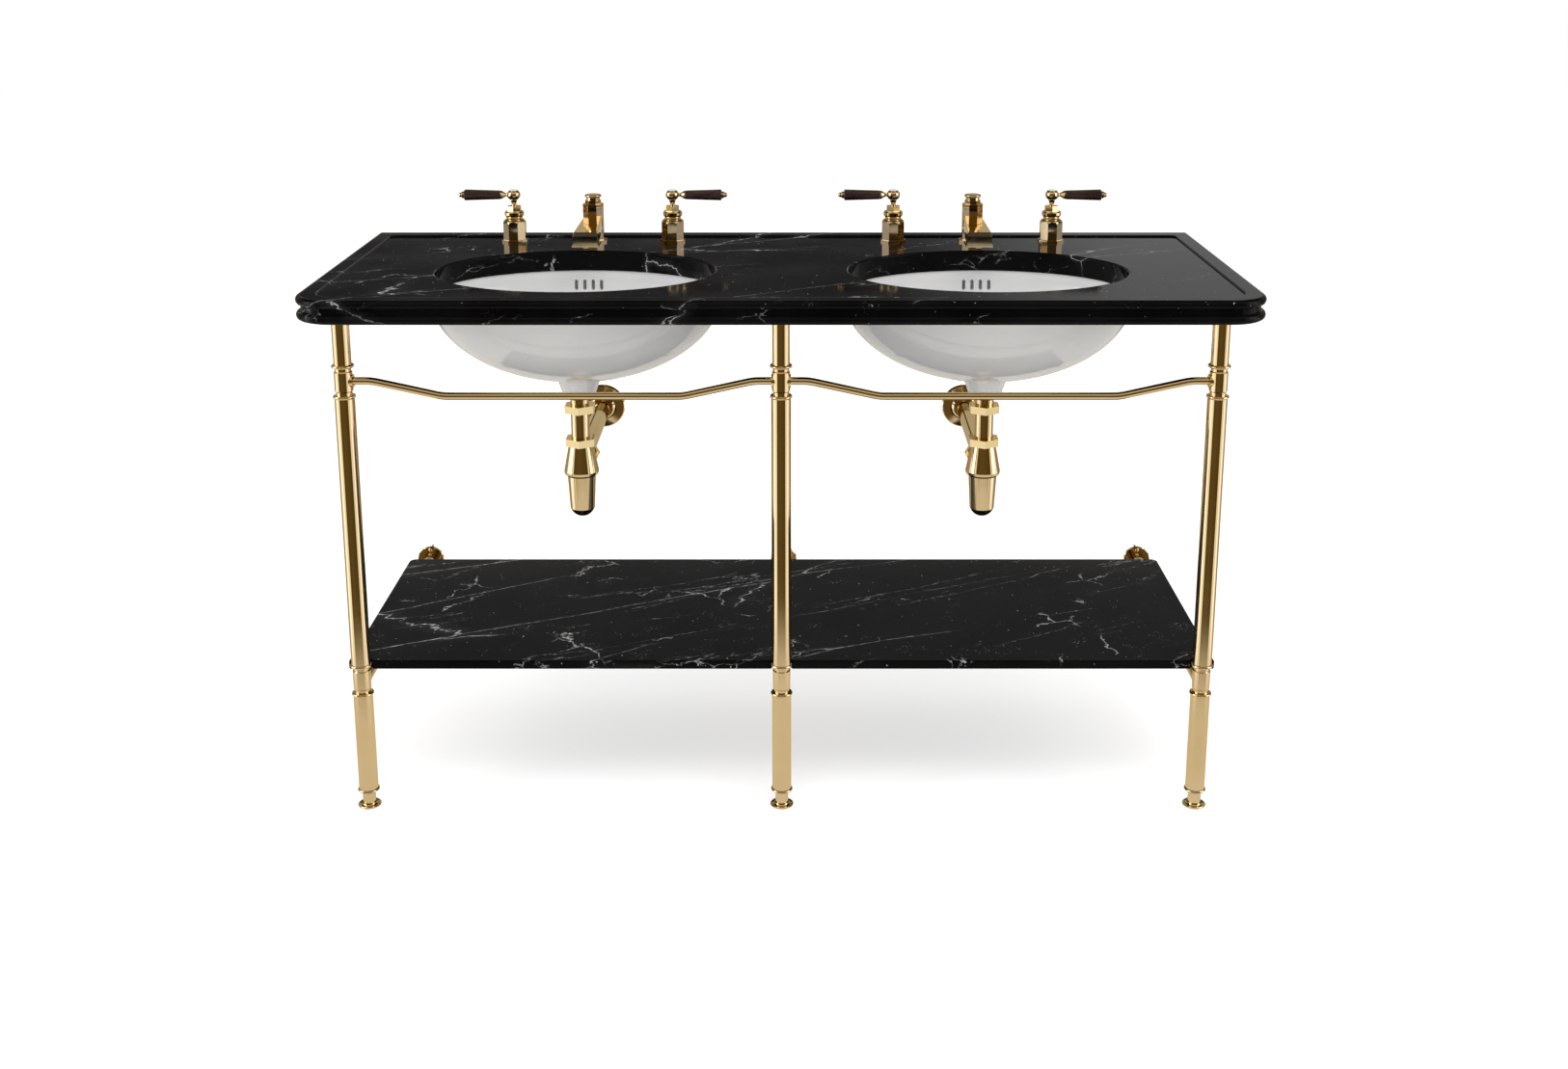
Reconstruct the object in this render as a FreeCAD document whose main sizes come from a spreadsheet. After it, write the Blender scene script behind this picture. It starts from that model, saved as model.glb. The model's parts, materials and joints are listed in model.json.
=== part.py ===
import FreeCAD, Part
import math
import os

import Sketcher

# Console sink: a marble top with two undermount oval basins, two three-hole
# lever tap sets, three turned brass front legs with dipped front rails, a lower
# marble shelf on brass bearers, and two bottle traps that drain into the wall.
#
# Frame: +X to the right, +Y towards the wall, +Z up. The origin is on the floor,
# below the middle of the whole object. The wall's face is the plane y = WALL_Y.

DIMENSIONS = {
    # Marble top: two round beads with a flat groove between them, and a dished field.
    "top_width": 1524.0,
    "top_depth": 610.0,
    "top_height": 880.0,
    "bead_height": 15.0,
    "groove_height": 9.0,
    "groove_depth": 7.5,
    "front_corner": 66.0,
    "rim_width": 32.0,
    "recess_depth": 3.0,
    "recess_corner": 38.0,
    "recess_back_corner": 10.0,
    "recess_ease": 2.5,
    "cutout_ease": 3.0,
    # Basins, hung under the oval cut-outs.
    "cutout_half_length": 235.0,
    "front_land": 85.0,
    "back_land": 171.0,
    "basin_reveal": 2.0,
    "basin_wall": 9.0,
    "basin_drop": 152.0,
    "basin_flange_width": 20.0,
    "basin_flange_thickness": 12.0,
    "neck_length": 27.0,
    "neck_top_radius": 40.0,
    "neck_bottom_radius": 28.0,
    "drain_hole_radius": 22.5,
    "slot_width": 6.0,
    "slot_height": 18.0,
    "slot_spacing": 15.0,
    "slot_middle_drop": 26.0,
    "overflow_duct": 11.0,
    "overflow_duct_width": 64.0,
    "clip_length": 34.0,
    "clip_width": 22.0,
    "clip_plate": 3.0,
    "clip_gap": 1.5,
    "clip_offset": 75.0,
    # Legs.
    "leg_side_inset": 68.0,
    "leg_setback": 58.0,
    "leg_radius": 15.9,
    "upper_leg_radius": 14.0,
    "sleeve_radius": 14.5,
    "neck_depth": 1.7,
    "ring_proud": 2.1,
    "ring_height": 5.5,
    "tee_ring_offset": 25.0,
    "sleeve_half": 16.2,
    "tube_wall": 2.5,
    "spigot_length": 14.0,
    "joint_clearance": 0.1,
    "shelf_tee_height": 228.5,
    "rail_tee_drop": 103.0,
    "ankle_height": 29.6,
    "ankle_plug": 14.0,
    "foot_radius": 19.2,
    "foot_edge": 3.2,
    "foot_stem_radius": 10.8,
    "foot_stud_radius": 5.0,
    "foot_stud_length": 12.0,
    "leg_plate_radius": 26.0,
    "leg_plate_thickness": 6.0,
    # Front rails, which dip between the legs.
    "rail_radius": 6.25,
    "rail_branch_radius": 11.0,
    "rail_branch_reach": 15.6,
    "rail_socket": 8.0,
    "rail_dip": 24.8,
    "rail_end_run": 44.0,
    "rail_slope_run": 112.0,
    "rail_bend_radius": 80.0,
    # Lower shelf and what carries it.
    "shelf_thickness": 15.0,
    "shelf_front_offset": 4.0,
    "shelf_side_overhang": 22.0,
    "shelf_wall_gap": 79.0,
    "shelf_corner": 3.0,
    "shelf_back_corner": 12.0,
    "shelf_ease": 2.5,
    "shelf_notch_clearance": 0.8,
    "bearer_branch_reach": 22.0,
    "wall_flange_margin": 2.8,
    "wall_flange_plate": 4.0,
    "wall_flange_seat": 1.5,
    "screw_head_margin": 1.5,
    "screw_hole_clearance": 0.2,
    "screw_head_radius": 3.6,
    "screw_head_height": 2.4,
    "screw_shank_radius": 2.0,
    "screw_length": 28.0,
    "bracket_width": 60.0,
    "bracket_leg": 45.0,
    "bracket_plate": 4.0,
    "bracket_offset": 600.0,
    "bracket_hole_spacing": 30.0,
    # Pop-up waste and its linkage.
    "waste_flange_radius": 31.0,
    "waste_flange_rise": 2.0,
    "waste_clearance": 1.0,
    "waste_wall": 2.7,
    "waste_nut_radius": 27.0,
    "waste_nut_height": 6.0,
    "pipe_radius": 15.9,
    "pipe_wall": 1.6,
    "port_clearance": 1.05,
    "port_wall": 1.7,
    "port_reach": 32.0,
    "port_lip": 5.0,
    "pivot_ball_radius": 4.0,
    "pivot_rod_radius": 2.0,
    "plug_clearance": 0.8,
    "plug_thickness": 5.0,
    "plug_stem_radius": 5.0,
    "lift_travel": 45.0,
    "lift_rod_radius": 3.0,
    "strap_width": 14.0,
    "strap_thickness": 3.0,
    "strap_length": 110.0,
    "linkage_clearance": 0.6,
    # Bottle traps.
    "trap_nut_radius": 24.5,
    "nut_spacing": 59.0,
    "trap_nut_length": 13.0,
    "bell_top_radius": 21.1,
    "bell_length": 46.0,
    "bell_radius": 29.9,
    "bell_skirt": 7.5,
    "trap_cup_radius": 24.4,
    "trap_cup_end_radius": 21.1,
    "trap_cup_length": 60.0,
    "trap_cup_end_rise": 15.5,
    "trap_cup_wall": 2.2,
    "outlet_drop": 35.5,
    "outlet_boss_radius": 21.0,
    "outlet_boss_reach": 34.0,
    "outlet_nut_radius": 27.0,
    "outlet_nut_length": 15.0,
    "wall_stub": 30.0,
    "wall_stub_relief": 0.4,
    "trap_flange_radius": 42.0,
    "trap_flange_hub_radius": 23.0,
    "trap_flange_hub_length": 15.0,
    # Three-hole tap sets.
    "tap_wall_distance": 76.0,
    "valve_offset": 145.0,
    "tap_hole_radius": 17.0,
    "tap_base_width": 45.0,
    "tap_base_height": 4.0,
    "valve_width": 39.8,
    "valve_body_top": 39.0,
    "valve_collar_radius": 17.6,
    "valve_nut_radius": 13.5,
    "collar_rise": 27.0,
    "shank_radius": 13.0,
    "shank_length": 62.0,
    "shank_bore_radius": 8.0,
    "tap_nut_radius": 21.0,
    "tap_nut_height": 9.0,
    "inlet_tail_radius": 10.4,
    "inlet_tail_length": 16.0,
    "spindle_radius": 4.0,
    "lever_rise": 20.0,
    "hub_radius": 12.2,
    "grip_start": 24.0,
    "grip_length": 66.0,
    "grip_start_width": 15.6,
    "grip_end_width": 19.2,
    "grip_rod_radius": 3.0,
    "finial_length": 11.0,
    "button_rim": 1.43,
    "spout_base_width": 48.0,
    "pillar_width": 36.4,
    "pillar_height": 70.0,
    "pillar_band": 4.5,
    "pillar_groove": 1.2,
    "spout_reach": 137.0,
    "nose_width": 45.0,
    "nose_chamfer": 6.5,
    "spout_side_chamfer": 3.0,
    "spout_root_width": 33.0,
    "nose_top": 39.5,
    "nose_bottom": 13.5,
    "nose_lip": 4.0,
    "nose_lip_proud": 0.8,
    "spout_root_top": 50.0,
    "spout_root_bottom": 28.0,
    "aerator_radius": 10.5,
    "aerator_setback": 16.0,
    "aerator_drop": 2.5,
    "outlet_bore_radius": 8.5,
    "outlet_bore_depth": 12.0,
    "knob_base_width": 28.0,
    "knob_base_height": 7.0,
    "knob_neck_radius": 12.3,
    "knob_neck_height": 5.0,
    "knob_cap_radius": 15.3,
    "knob_cap_height": 5.3,
}

doc = FreeCAD.newDocument("ConsoleSink")
sheet = doc.addObject("Spreadsheet::Sheet", "Dim")
for row, (alias, number) in enumerate(DIMENSIONS.items(), start=1):
    sheet.set(f"A{row}", alias.replace("_", " "))
    sheet.set(f"B{row}", str(number))
    sheet.setAlias(f"B{row}", alias)
doc.recompute()


class Size:
    """A length that carries its number and the sheet formula that gives it."""

    def __init__(self, value, text):
        self.value = value
        self.text = text

    def __add__(self, other):
        other = size(other)
        return Size(self.value + other.value, f"({self.text} + {other.text})")

    def __sub__(self, other):
        other = size(other)
        return Size(self.value - other.value, f"({self.text} - {other.text})")

    def __mul__(self, other):
        other = size(other)
        return Size(self.value * other.value, f"({self.text} * {other.text})")

    def __truediv__(self, other):
        other = size(other)
        return Size(self.value / other.value, f"({self.text} / {other.text})")

    def __neg__(self):
        return size(0) - self

    def __radd__(self, other):
        return size(other) + self

    def __rsub__(self, other):
        return size(other) - self

    def __rmul__(self, other):
        return size(other) * self


def size(thing):
    """A Size from a plain number, or the Size itself."""
    if isinstance(thing, Size):
        return thing
    return Size(float(thing), f"{float(thing):.6f}")


def root(length):
    """The square root of a Size."""
    return Size(math.sqrt(length.value), f"sqrt({length.text})")


def dim(alias):
    """The size that one cell of the sheet holds."""
    return Size(float(sheet.get(alias)), f"Dim.{alias}")


def bind(item, prop, length):
    """Ties one property of a document object to a Size."""
    length = size(length)
    item.setExpression(prop, length.text)


def place(item, x=0, y=0, z=0, turn=None):
    """Gives an object its Placement: a rotation, and a position tied to the sheet."""
    item.Placement = FreeCAD.Placement(
        FreeCAD.Vector(size(x).value, size(y).value, size(z).value),
        turn or FreeCAD.Rotation(),
    )
    for prop, length in (("x", x), ("y", y), ("z", z)):
        if isinstance(length, Size):
            bind(item, f"Placement.Base.{prop}", length)
    return item


X_AXIS = FreeCAD.Vector(1, 0, 0)
Y_AXIS = FreeCAD.Vector(0, 1, 0)
Z_AXIS = FreeCAD.Vector(0, 0, 1)
Z_TO_Y = FreeCAD.Rotation(X_AXIS, -90)
Z_TO_X = FreeCAD.Rotation(Y_AXIS, 90)
Z_TO_MINUS_X = FreeCAD.Rotation(Y_AXIS, -90)
OCTAGON_TURN = FreeCAD.Rotation(Z_AXIS, 22.5)
HEX_TURN = FreeCAD.Rotation(Z_AXIS, 30)
OCTAGON = 0.5 / math.cos(math.pi / 8)
HEXAGON = 1 / math.cos(math.pi / 6)


def draw(sketch, points, closed=True):
    """Draws a chain of lines and arcs whose corners are tied to the sheet.

    Each point is (u, v), or (u, v, cu, cv) where the stretch to the next point is
    an arc round the centre (cu, cv).
    """
    count = len(points) if closed else len(points) - 1
    for index in range(count):
        start = [size(p) for p in points[index]]
        end = [size(p) for p in points[(index + 1) % len(points)]][:2]
        a = FreeCAD.Vector(start[0].value, start[1].value, 0)
        b = FreeCAD.Vector(end[0].value, end[1].value, 0)
        if len(start) == 2:
            sketch.addGeometry(Part.LineSegment(a, b), False)
            continue
        centre = FreeCAD.Vector(start[2].value, start[3].value, 0)
        away = (a + b) * 0.5 - centre
        if away.Length < 1e-6:
            away = FreeCAD.Vector(1, 0, 0)
        middle = centre + away.normalize() * (a - centre).Length
        sketch.addGeometry(Part.Arc(a, middle, b), False)
    ends = [chain_ends(sketch, index, points) for index in range(count)]
    for index in range(count):
        following = (index + 1) % count
        if following or closed:
            sketch.addConstraint(
                Sketcher.Constraint("Coincident", index, ends[index][1], following, ends[following][0])
            )
    for index in range(count):
        fix_point(sketch, index, ends[index][0], points[index][0], points[index][1])
        if len(points[index]) == 4:
            fix_centre(sketch, index, points[index], points[(index + 1) % len(points)])
    if not closed:
        fix_point(sketch, count - 1, ends[-1][1], points[-1][0], points[-1][1])


def chain_ends(sketch, index, points):
    """Which end of an edge is its start and which its end: an arc may run backwards."""
    start = sketch.getPoint(index, 1)
    wanted = FreeCAD.Vector(size(points[index][0]).value, size(points[index][1]).value, 0)
    return (1, 2) if (start - wanted).Length < 1e-4 else (2, 1)


def fix_point(sketch, index, end, u, v):
    """Ties one end of an edge to a position in the sketch."""
    for kind, axis, length in (("DistanceX", -2, u), ("DistanceY", -1, v)):
        length = size(length)
        if abs(length.value) < 1e-9:
            sketch.addConstraint(Sketcher.Constraint("PointOnObject", index, end, axis))
            continue
        number = sketch.addConstraint(Sketcher.Constraint(kind, -1, 1, index, end, length.value))
        sketch.setExpression(f"Constraints[{number}]", length.text)


def fix_centre(sketch, index, point, following):
    """Ties an arc's centre along a direction that its chord leaves free."""
    along_u = abs(size(following[0]).value - size(point[0]).value)
    along_v = abs(size(following[1]).value - size(point[1]).value)
    on_axis = abs(size(point[2]).value) < 1e-9 and along_v > 1e-3
    if on_axis or along_v >= along_u:
        kind, axis, length = "DistanceX", -2, size(point[2])
    else:
        kind, axis, length = "DistanceY", -1, size(point[3])
    if abs(length.value) < 1e-9:
        sketch.addConstraint(Sketcher.Constraint("PointOnObject", index, 3, axis))
        return
    number = sketch.addConstraint(Sketcher.Constraint(kind, -1, 1, index, 3, length.value))
    sketch.setExpression(f"Constraints[{number}]", length.text)


def new_sketch(body, name, plane="XY_Plane", offset=None):
    """A sketch on one of its own body's origin planes, lifted off it by a Size."""
    sketch = body.newObject("Sketcher::SketchObject", name)
    origin = [o for o in body.Origin.OriginFeatures if o.Role == plane][0]
    sketch.AttachmentSupport = (origin, [""])
    sketch.MapMode = "FlatFace"
    if offset is not None:
        sketch.AttachmentOffset = FreeCAD.Placement(
            FreeCAD.Vector(0, 0, size(offset).value), FreeCAD.Rotation()
        )
        bind(sketch, "AttachmentOffset.Base.z", offset)
    return sketch


def turned(label, outline):
    """A body turned about its own Z axis from an outline of (radius, height) points."""
    body = doc.addObject("PartDesign::Body", label)
    body.Label = label
    sketch = new_sketch(body, label + "_outline", "XZ_Plane")
    draw(sketch, outline)
    spin = body.newObject("PartDesign::Revolution", label + "_turning")
    spin.Profile = sketch
    spin.ReferenceAxis = (sketch, ["V_Axis"])
    spin.Angle = 360
    sketch.Visibility = False
    return body


def ring_points(ring, low, high):
    """The half-round nose of a turned ring between two heights, going up."""
    half = (high - low) / 2
    return [(ring - half, low, ring - half, low + half), (ring - half, high)]


def cylinder(label, radius, height, x=0, y=0, z=0, turn=None):
    """A plain cylinder, tied to the sheet."""
    item = doc.addObject("Part::Cylinder", label)
    bind(item, "Radius", radius)
    bind(item, "Height", height)
    return place(item, x, y, z, turn)


def block(label, length, width, height, x=0, y=0, z=0, turn=None):
    """A plain box from its lowest corner, tied to the sheet."""
    item = doc.addObject("Part::Box", label)
    bind(item, "Length", length)
    bind(item, "Width", width)
    bind(item, "Height", height)
    return place(item, x, y, z, turn)


def prism(label, sides, circumradius, height, x=0, y=0, z=0, turn=None):
    """A regular prism, tied to the sheet."""
    item = doc.addObject("Part::Prism", label)
    item.Polygon = sides
    bind(item, "Circumradius", circumradius)
    bind(item, "Height", height)
    return place(item, x, y, z, turn)


def fuse(label, shapes):
    """Several solids joined to one piece."""
    item = doc.addObject("Part::MultiFuse", label)
    item.Shapes = shapes
    item.Refine = True
    item.Label = label
    return item


def cut(label, base, tools):
    """A piece with one or more tools taken out of it."""
    item = doc.addObject("Part::Cut", label)
    item.Base = base
    item.Tool = tools[0] if len(tools) == 1 else fuse(label + "_tools", tools)
    item.Refine = True
    item.Label = label
    return item


def common(label, base, tool):
    """The space that two solids share."""
    item = doc.addObject("Part::Common", label)
    item.Base = base
    item.Tool = tool
    item.Refine = True
    item.Label = label
    return item


def group(label, items):
    """Identical or matching pieces of one node, kept as separate solids."""
    item = doc.addObject("Part::Compound", label)
    item.Links = items
    item.Label = label
    return item


NODES = []


def node(item):
    """Marks an object as one of the finished pieces."""
    NODES.append(item)
    return item


# ---------------------------------------------------------------- shared places
FRONT_Y = (dim("top_depth") + dim("wall_stub")) / -2
WALL_Y = FRONT_Y + dim("top_depth")
LEG_Y = FRONT_Y + dim("leg_setback")
CUTOUT_HALF_WIDTH = (dim("top_depth") - dim("front_land") - dim("back_land")) / 2
BASIN_Y = FRONT_Y + dim("front_land") + CUTOUT_HALF_WIDTH
TAP_Y = WALL_Y - dim("tap_wall_distance")
TOP_Z = dim("top_height")
TOP_THICKNESS = dim("bead_height") * 2 + dim("groove_height")
UNDER_Z = TOP_Z - TOP_THICKNESS
FIELD_Z = TOP_Z - dim("recess_depth")
SIDES = {"left": -1, "centre": 0, "right": 1}
PAIR = {"left": -1, "right": 1}
LEG_PITCH = dim("top_width") / 2 - dim("leg_side_inset")
LEG_X = {name: sign * LEG_PITCH for name, sign in SIDES.items()}
BASIN_X = {name: sign * LEG_PITCH / 2 for name, sign in PAIR.items()}
LEG_MIDDLE_BORE = dim("leg_radius") - dim("tube_wall")
UPPER_BORE = dim("upper_leg_radius") - dim("tube_wall")
BEARER_BORE = dim("sleeve_radius") - dim("tube_wall")
GAP = dim("joint_clearance")
RING_RADIUS = dim("leg_radius") + dim("ring_proud")
RING_HALF = dim("ring_height") / 2
RAIL_Z = UNDER_Z - dim("rail_tee_drop")
TEE_END = dim("tee_ring_offset") + RING_HALF
Z_TO_MINUS_Y = FreeCAD.Rotation(X_AXIS, 90)
RUNNING_FIT = 0.06


# ---------------------------------------------------------------- marble top
def rounded_outline(left, right, front, back, front_corner, back_corner):
    """A rectangle whose front and back corners have radii of their own."""
    points = [(left + front_corner, front)]
    points.append((right - front_corner, front, right - front_corner, front + front_corner))
    points.append((right, front + front_corner))
    if back_corner is None:
        points += [(right, back), (left, back)]
    else:
        points.append((right, back - back_corner, right - back_corner, back - back_corner))
        points.append((right - back_corner, back))
        points.append((left + back_corner, back, left + back_corner, back - back_corner))
        points.append((left, back - back_corner))
    points.append((left, front + front_corner, left + front_corner, front + front_corner))
    return points


def pad(body, name, outline, low, height):
    """A plate of the body, from an outline at one height."""
    sketch = new_sketch(body, name + "_outline", "XY_Plane", low)
    draw(sketch, outline)
    plate = body.newObject("PartDesign::Pad", name)
    plate.Profile = sketch
    bind(plate, "Length", height)
    return plate


def pocket(body, name, outline, high, depth):
    """A pocket cut down into the body from an outline at one height."""
    sketch = new_sketch(body, name + "_outline", "XY_Plane", high)
    draw(sketch, outline)
    hollow = body.newObject("PartDesign::Pocket", name)
    hollow.Profile = sketch
    bind(hollow, "Length", depth)
    return hollow


def edges_at(shape, heights, keep):
    """The names of the level edges at given heights that pass a test on their middle."""
    names = []
    for number, edge in enumerate(shape.Edges, start=1):
        box = edge.BoundBox
        middle = edge.CenterOfMass
        if box.ZLength > 1e-6 or not keep(edge, middle):
            continue
        if any(abs(box.ZMin - height) < 1e-6 for height in heights):
            names.append(f"Edge{number}")
    return names


def make_marble_slab():
    """The slab with its reeded edge on three sides and the dished field."""
    body = doc.addObject("PartDesign::Body", "marble_slab")
    half = dim("top_width") / 2
    groove = dim("groove_depth")
    bead = dim("bead_height")
    corner = dim("front_corner")
    outer = rounded_outline(-half, half, FRONT_Y, WALL_Y, corner, None)
    core = rounded_outline(groove - half, half - groove, FRONT_Y + groove, WALL_Y, corner - groove, None)
    pad(body, "lower_bead", outer, UNDER_Z, bead)
    pad(body, "groove_core", core, UNDER_Z, TOP_THICKNESS)
    upper = pad(body, "upper_bead", outer, TOP_Z - bead, bead)
    doc.recompute()
    levels = [UNDER_Z.value, (UNDER_Z + bead).value, (TOP_Z - bead).value, TOP_Z.value]
    inner = half.value - groove.value / 2
    front = FRONT_Y.value + groove.value / 2

    def on_the_rim(edge, middle):
        rim = abs(middle.x) > inner or middle.y < front
        round_edge = edge.Curve.TypeId == "Part::GeomCircle"
        corner_arc = round_edge and edge.Curve.Radius > (corner - groove / 2).value
        return (rim or corner_arc) and abs(middle.y - WALL_Y.value) > 1e-6

    rounding = body.newObject("PartDesign::Fillet", "bead_rounding")
    rounding.Base = (upper, edges_at(upper.Shape, levels, on_the_rim))
    bind(rounding, "Radius", bead / 2 - 0.1)
    rim = dim("rim_width")
    field = rounded_outline(
        rim - half, half - rim, FRONT_Y + rim, WALL_Y - rim, dim("recess_corner"), dim("recess_back_corner")
    )
    recess = pocket(body, "field_recess", field, TOP_Z, dim("recess_depth"))
    doc.recompute()

    def on_the_field(edge, middle):
        return abs(middle.x) < (half - rim).value + 1e-3 and middle.y > (FRONT_Y + rim).value - 1e-3

    def inside(edge, middle):
        return on_the_field(edge, middle) and middle.y < (WALL_Y - rim).value + 1e-3

    ease = body.newObject("PartDesign::Fillet", "recess_easing")
    ease.Base = (recess, edges_at(recess.Shape, [TOP_Z.value], inside))
    bind(ease, "Radius", dim("recess_ease"))
    return body


def ellipse_plate(label, half_x, half_y, height, x, y, z):
    """An upright solid with an oval outline."""
    oval = doc.addObject("Part::Ellipse", label + "_oval")
    bind(oval, "MajorRadius", half_x)
    bind(oval, "MinorRadius", half_y)
    place(oval, x, y, z)
    plate = doc.addObject("Part::Extrusion", label)
    plate.Base = oval
    plate.DirMode = "Custom"
    plate.Dir = Z_AXIS
    plate.Solid = True
    bind(plate, "LengthFwd", height)
    return plate


def tap_places():
    """Every tap hole's name and X position: two valves and a spout for each basin."""
    places = {}
    for side, middle in BASIN_X.items():
        places[f"{side}_outer" if side == "left" else f"{side}_inner"] = middle - dim("valve_offset")
        places[f"{side}_spout"] = middle
        places[f"{side}_inner" if side == "left" else f"{side}_outer"] = middle + dim("valve_offset")
    return places


TAPS = tap_places()


def make_marble_top():
    """The slab with its oval cut-outs, their eased edges, and the tap holes."""
    slab = make_marble_slab()
    tools = []
    for side, middle in BASIN_X.items():
        tools.append(
            ellipse_plate(
                f"cutout_{side}",
                dim("cutout_half_length"),
                CUTOUT_HALF_WIDTH,
                TOP_THICKNESS + 2,
                middle,
                BASIN_Y,
                UNDER_Z - 1,
            )
        )
    for name, middle in TAPS.items():
        tools.append(
            cylinder(
                f"tap_hole_{name}", dim("tap_hole_radius"), TOP_THICKNESS + 2, middle, TAP_Y, UNDER_Z - 1
            )
        )
    drilled = cut("marble_drilled", slab, tools)
    doc.recompute()
    lip = doc.addObject("Part::Fillet", "marble_top")
    lip.Base = drilled
    radius = dim("cutout_ease").value
    rims = []
    for number, edge in enumerate(drilled.Shape.Edges, start=1):
        box = edge.BoundBox
        is_cutout = edge.Length > 4 * CUTOUT_HALF_WIDTH.value and box.XLength < LEG_PITCH.value
        if is_cutout and abs(box.ZMin - FIELD_Z.value) < 1e-4 and abs(box.ZMax - FIELD_Z.value) < 1e-4:
            if abs(box.YLength - 2 * CUTOUT_HALF_WIDTH.value) < 1e-2:
                rims.append((number, radius, radius))
    lip.Edges = rims
    return lip


node(make_marble_top())


# ---------------------------------------------------------------- basins
def half_ellipsoid(label, drop, half_x, half_y, x, y, z):
    """The lower half of an ellipsoid whose level plane is at z."""
    item = doc.addObject("Part::Ellipsoid", label)
    bind(item, "Radius1", drop)
    bind(item, "Radius2", half_x)
    bind(item, "Radius3", half_y)
    item.Angle1 = -90
    item.Angle2 = 0
    return place(item, x, y, z)


SEAT_Z = UNDER_Z - dim("basin_drop") + dim("basin_wall") - dim("waste_flange_rise")
NECK_Z = UNDER_Z - dim("basin_drop") - dim("neck_length")


def make_basin(side):
    """An undermount bowl: flange, ellipsoid shell, neck, overflow slots and their duct."""
    x, y = BASIN_X[side], BASIN_Y
    inner_x = dim("cutout_half_length") + dim("basin_reveal")
    inner_y = CUTOUT_HALF_WIDTH + dim("basin_reveal")
    wall, drop = dim("basin_wall"), dim("basin_drop")
    flange_z = UNDER_Z - dim("basin_flange_thickness")
    bowl = half_ellipsoid(f"bowl_{side}", drop, inner_x + wall, inner_y + wall, x, y, UNDER_Z)
    flange = ellipse_plate(
        f"flange_{side}",
        inner_x + dim("basin_flange_width"),
        inner_y + dim("basin_flange_width"),
        dim("basin_flange_thickness"),
        x,
        y,
        flange_z,
    )
    neck = doc.addObject("Part::Cone", f"neck_{side}")
    bind(neck, "Radius1", dim("neck_bottom_radius"))
    bind(neck, "Radius2", dim("neck_top_radius"))
    bind(neck, "Height", UNDER_Z - drop + wall - NECK_Z)
    place(neck, x, y, NECK_Z)
    duct = dim("overflow_duct")
    duct_bulge = half_ellipsoid(
        f"duct_bulge_{side}", drop + duct, inner_x + wall + duct, inner_y + wall + duct, x, y, UNDER_Z
    )
    duct_slice = block(
        f"duct_slice_{side}",
        dim("overflow_duct_width"),
        inner_y + wall + duct,
        drop + duct,
        x - dim("overflow_duct_width") / 2,
        y + dim("neck_bottom_radius"),
        UNDER_Z - drop - duct,
    )
    shell = fuse(f"shell_{side}", [bowl, flange, neck, common(f"duct_{side}", duct_bulge, duct_slice)])
    tools = [half_ellipsoid(f"bowl_inside_{side}", drop - wall, inner_x, inner_y, x, y, UNDER_Z)]
    tools.append(
        cylinder(f"waste_seat_{side}", dim("waste_flange_radius") + 0.4, wall, x, y, SEAT_Z)
    )
    tools.append(cylinder(f"drain_{side}", dim("drain_hole_radius"), SEAT_Z - NECK_Z + 2, x, y, NECK_Z - 1))
    slot_half, slot_y = dim("slot_width") / 2, y + inner_y * 0.6
    slot_low = UNDER_Z - dim("slot_middle_drop") - dim("slot_height") / 2 + slot_half
    straight, through = dim("slot_height") - slot_half * 2, inner_y * 0.4 + wall + duct / 2
    for number in range(4):
        slot_x, label = x + dim("slot_spacing") * (number - 1.5), f"slot_{side}_{number}"
        tools.append(block(label, slot_half * 2, through, straight, slot_x - slot_half, slot_y, slot_low))
        for end, z in (("low", slot_low), ("high", slot_low + straight)):
            tools.append(cylinder(f"{label}_{end}", slot_half, through, slot_x, slot_y, z, Z_TO_Y))
    return cut(f"basin_{side}", shell, tools)


for side in PAIR:
    node(make_basin(side))


CLIP_SPOTS = {"west": (-1, 0), "east": (1, 0), "back_west": (1, -1), "back_east": (1, 1)}


def make_clip(side, name):
    """A clip that holds a basin's flange up against the marble: a plate and its heel."""
    sign, aside = CLIP_SPOTS[name]
    along_x = name in ("west", "east")
    length, width, plate = dim("clip_length"), dim("clip_width"), dim("clip_plate")
    half_x = dim("cutout_half_length") + dim("basin_reveal") + dim("basin_flange_width")
    half_y = CUTOUT_HALF_WIDTH + dim("basin_reveal") + dim("basin_flange_width")
    shift = dim("clip_offset") * aside
    share = (dim("clip_offset") - width / 2) / half_x
    edge = half_x if along_x else half_y * root(1 - share * share)
    low = UNDER_Z - dim("basin_flange_thickness") - plate
    lap = length / 4
    spans = {"plate": (edge - lap, edge - lap + length, plate)}
    spans["heel"] = (edge + dim("clip_gap"), edge - lap + length, UNDER_Z - low)
    x, y = BASIN_X[side], BASIN_Y
    pieces = []
    for piece, (near, far, height) in spans.items():
        label = f"clip_{piece}_{side}_{name}"
        begin = near if sign > 0 else -far
        if along_x:
            pieces.append(block(label, far - near, width, height, x + begin, y - width / 2, low))
        else:
            pieces.append(block(label, width, far - near, height, x + shift - width / 2, y + begin, low))
    return fuse(f"clip_{side}_{name}", pieces)


node(group("basin_clips", [make_clip(side, name) for side in PAIR for name in CLIP_SPOTS]))


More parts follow.
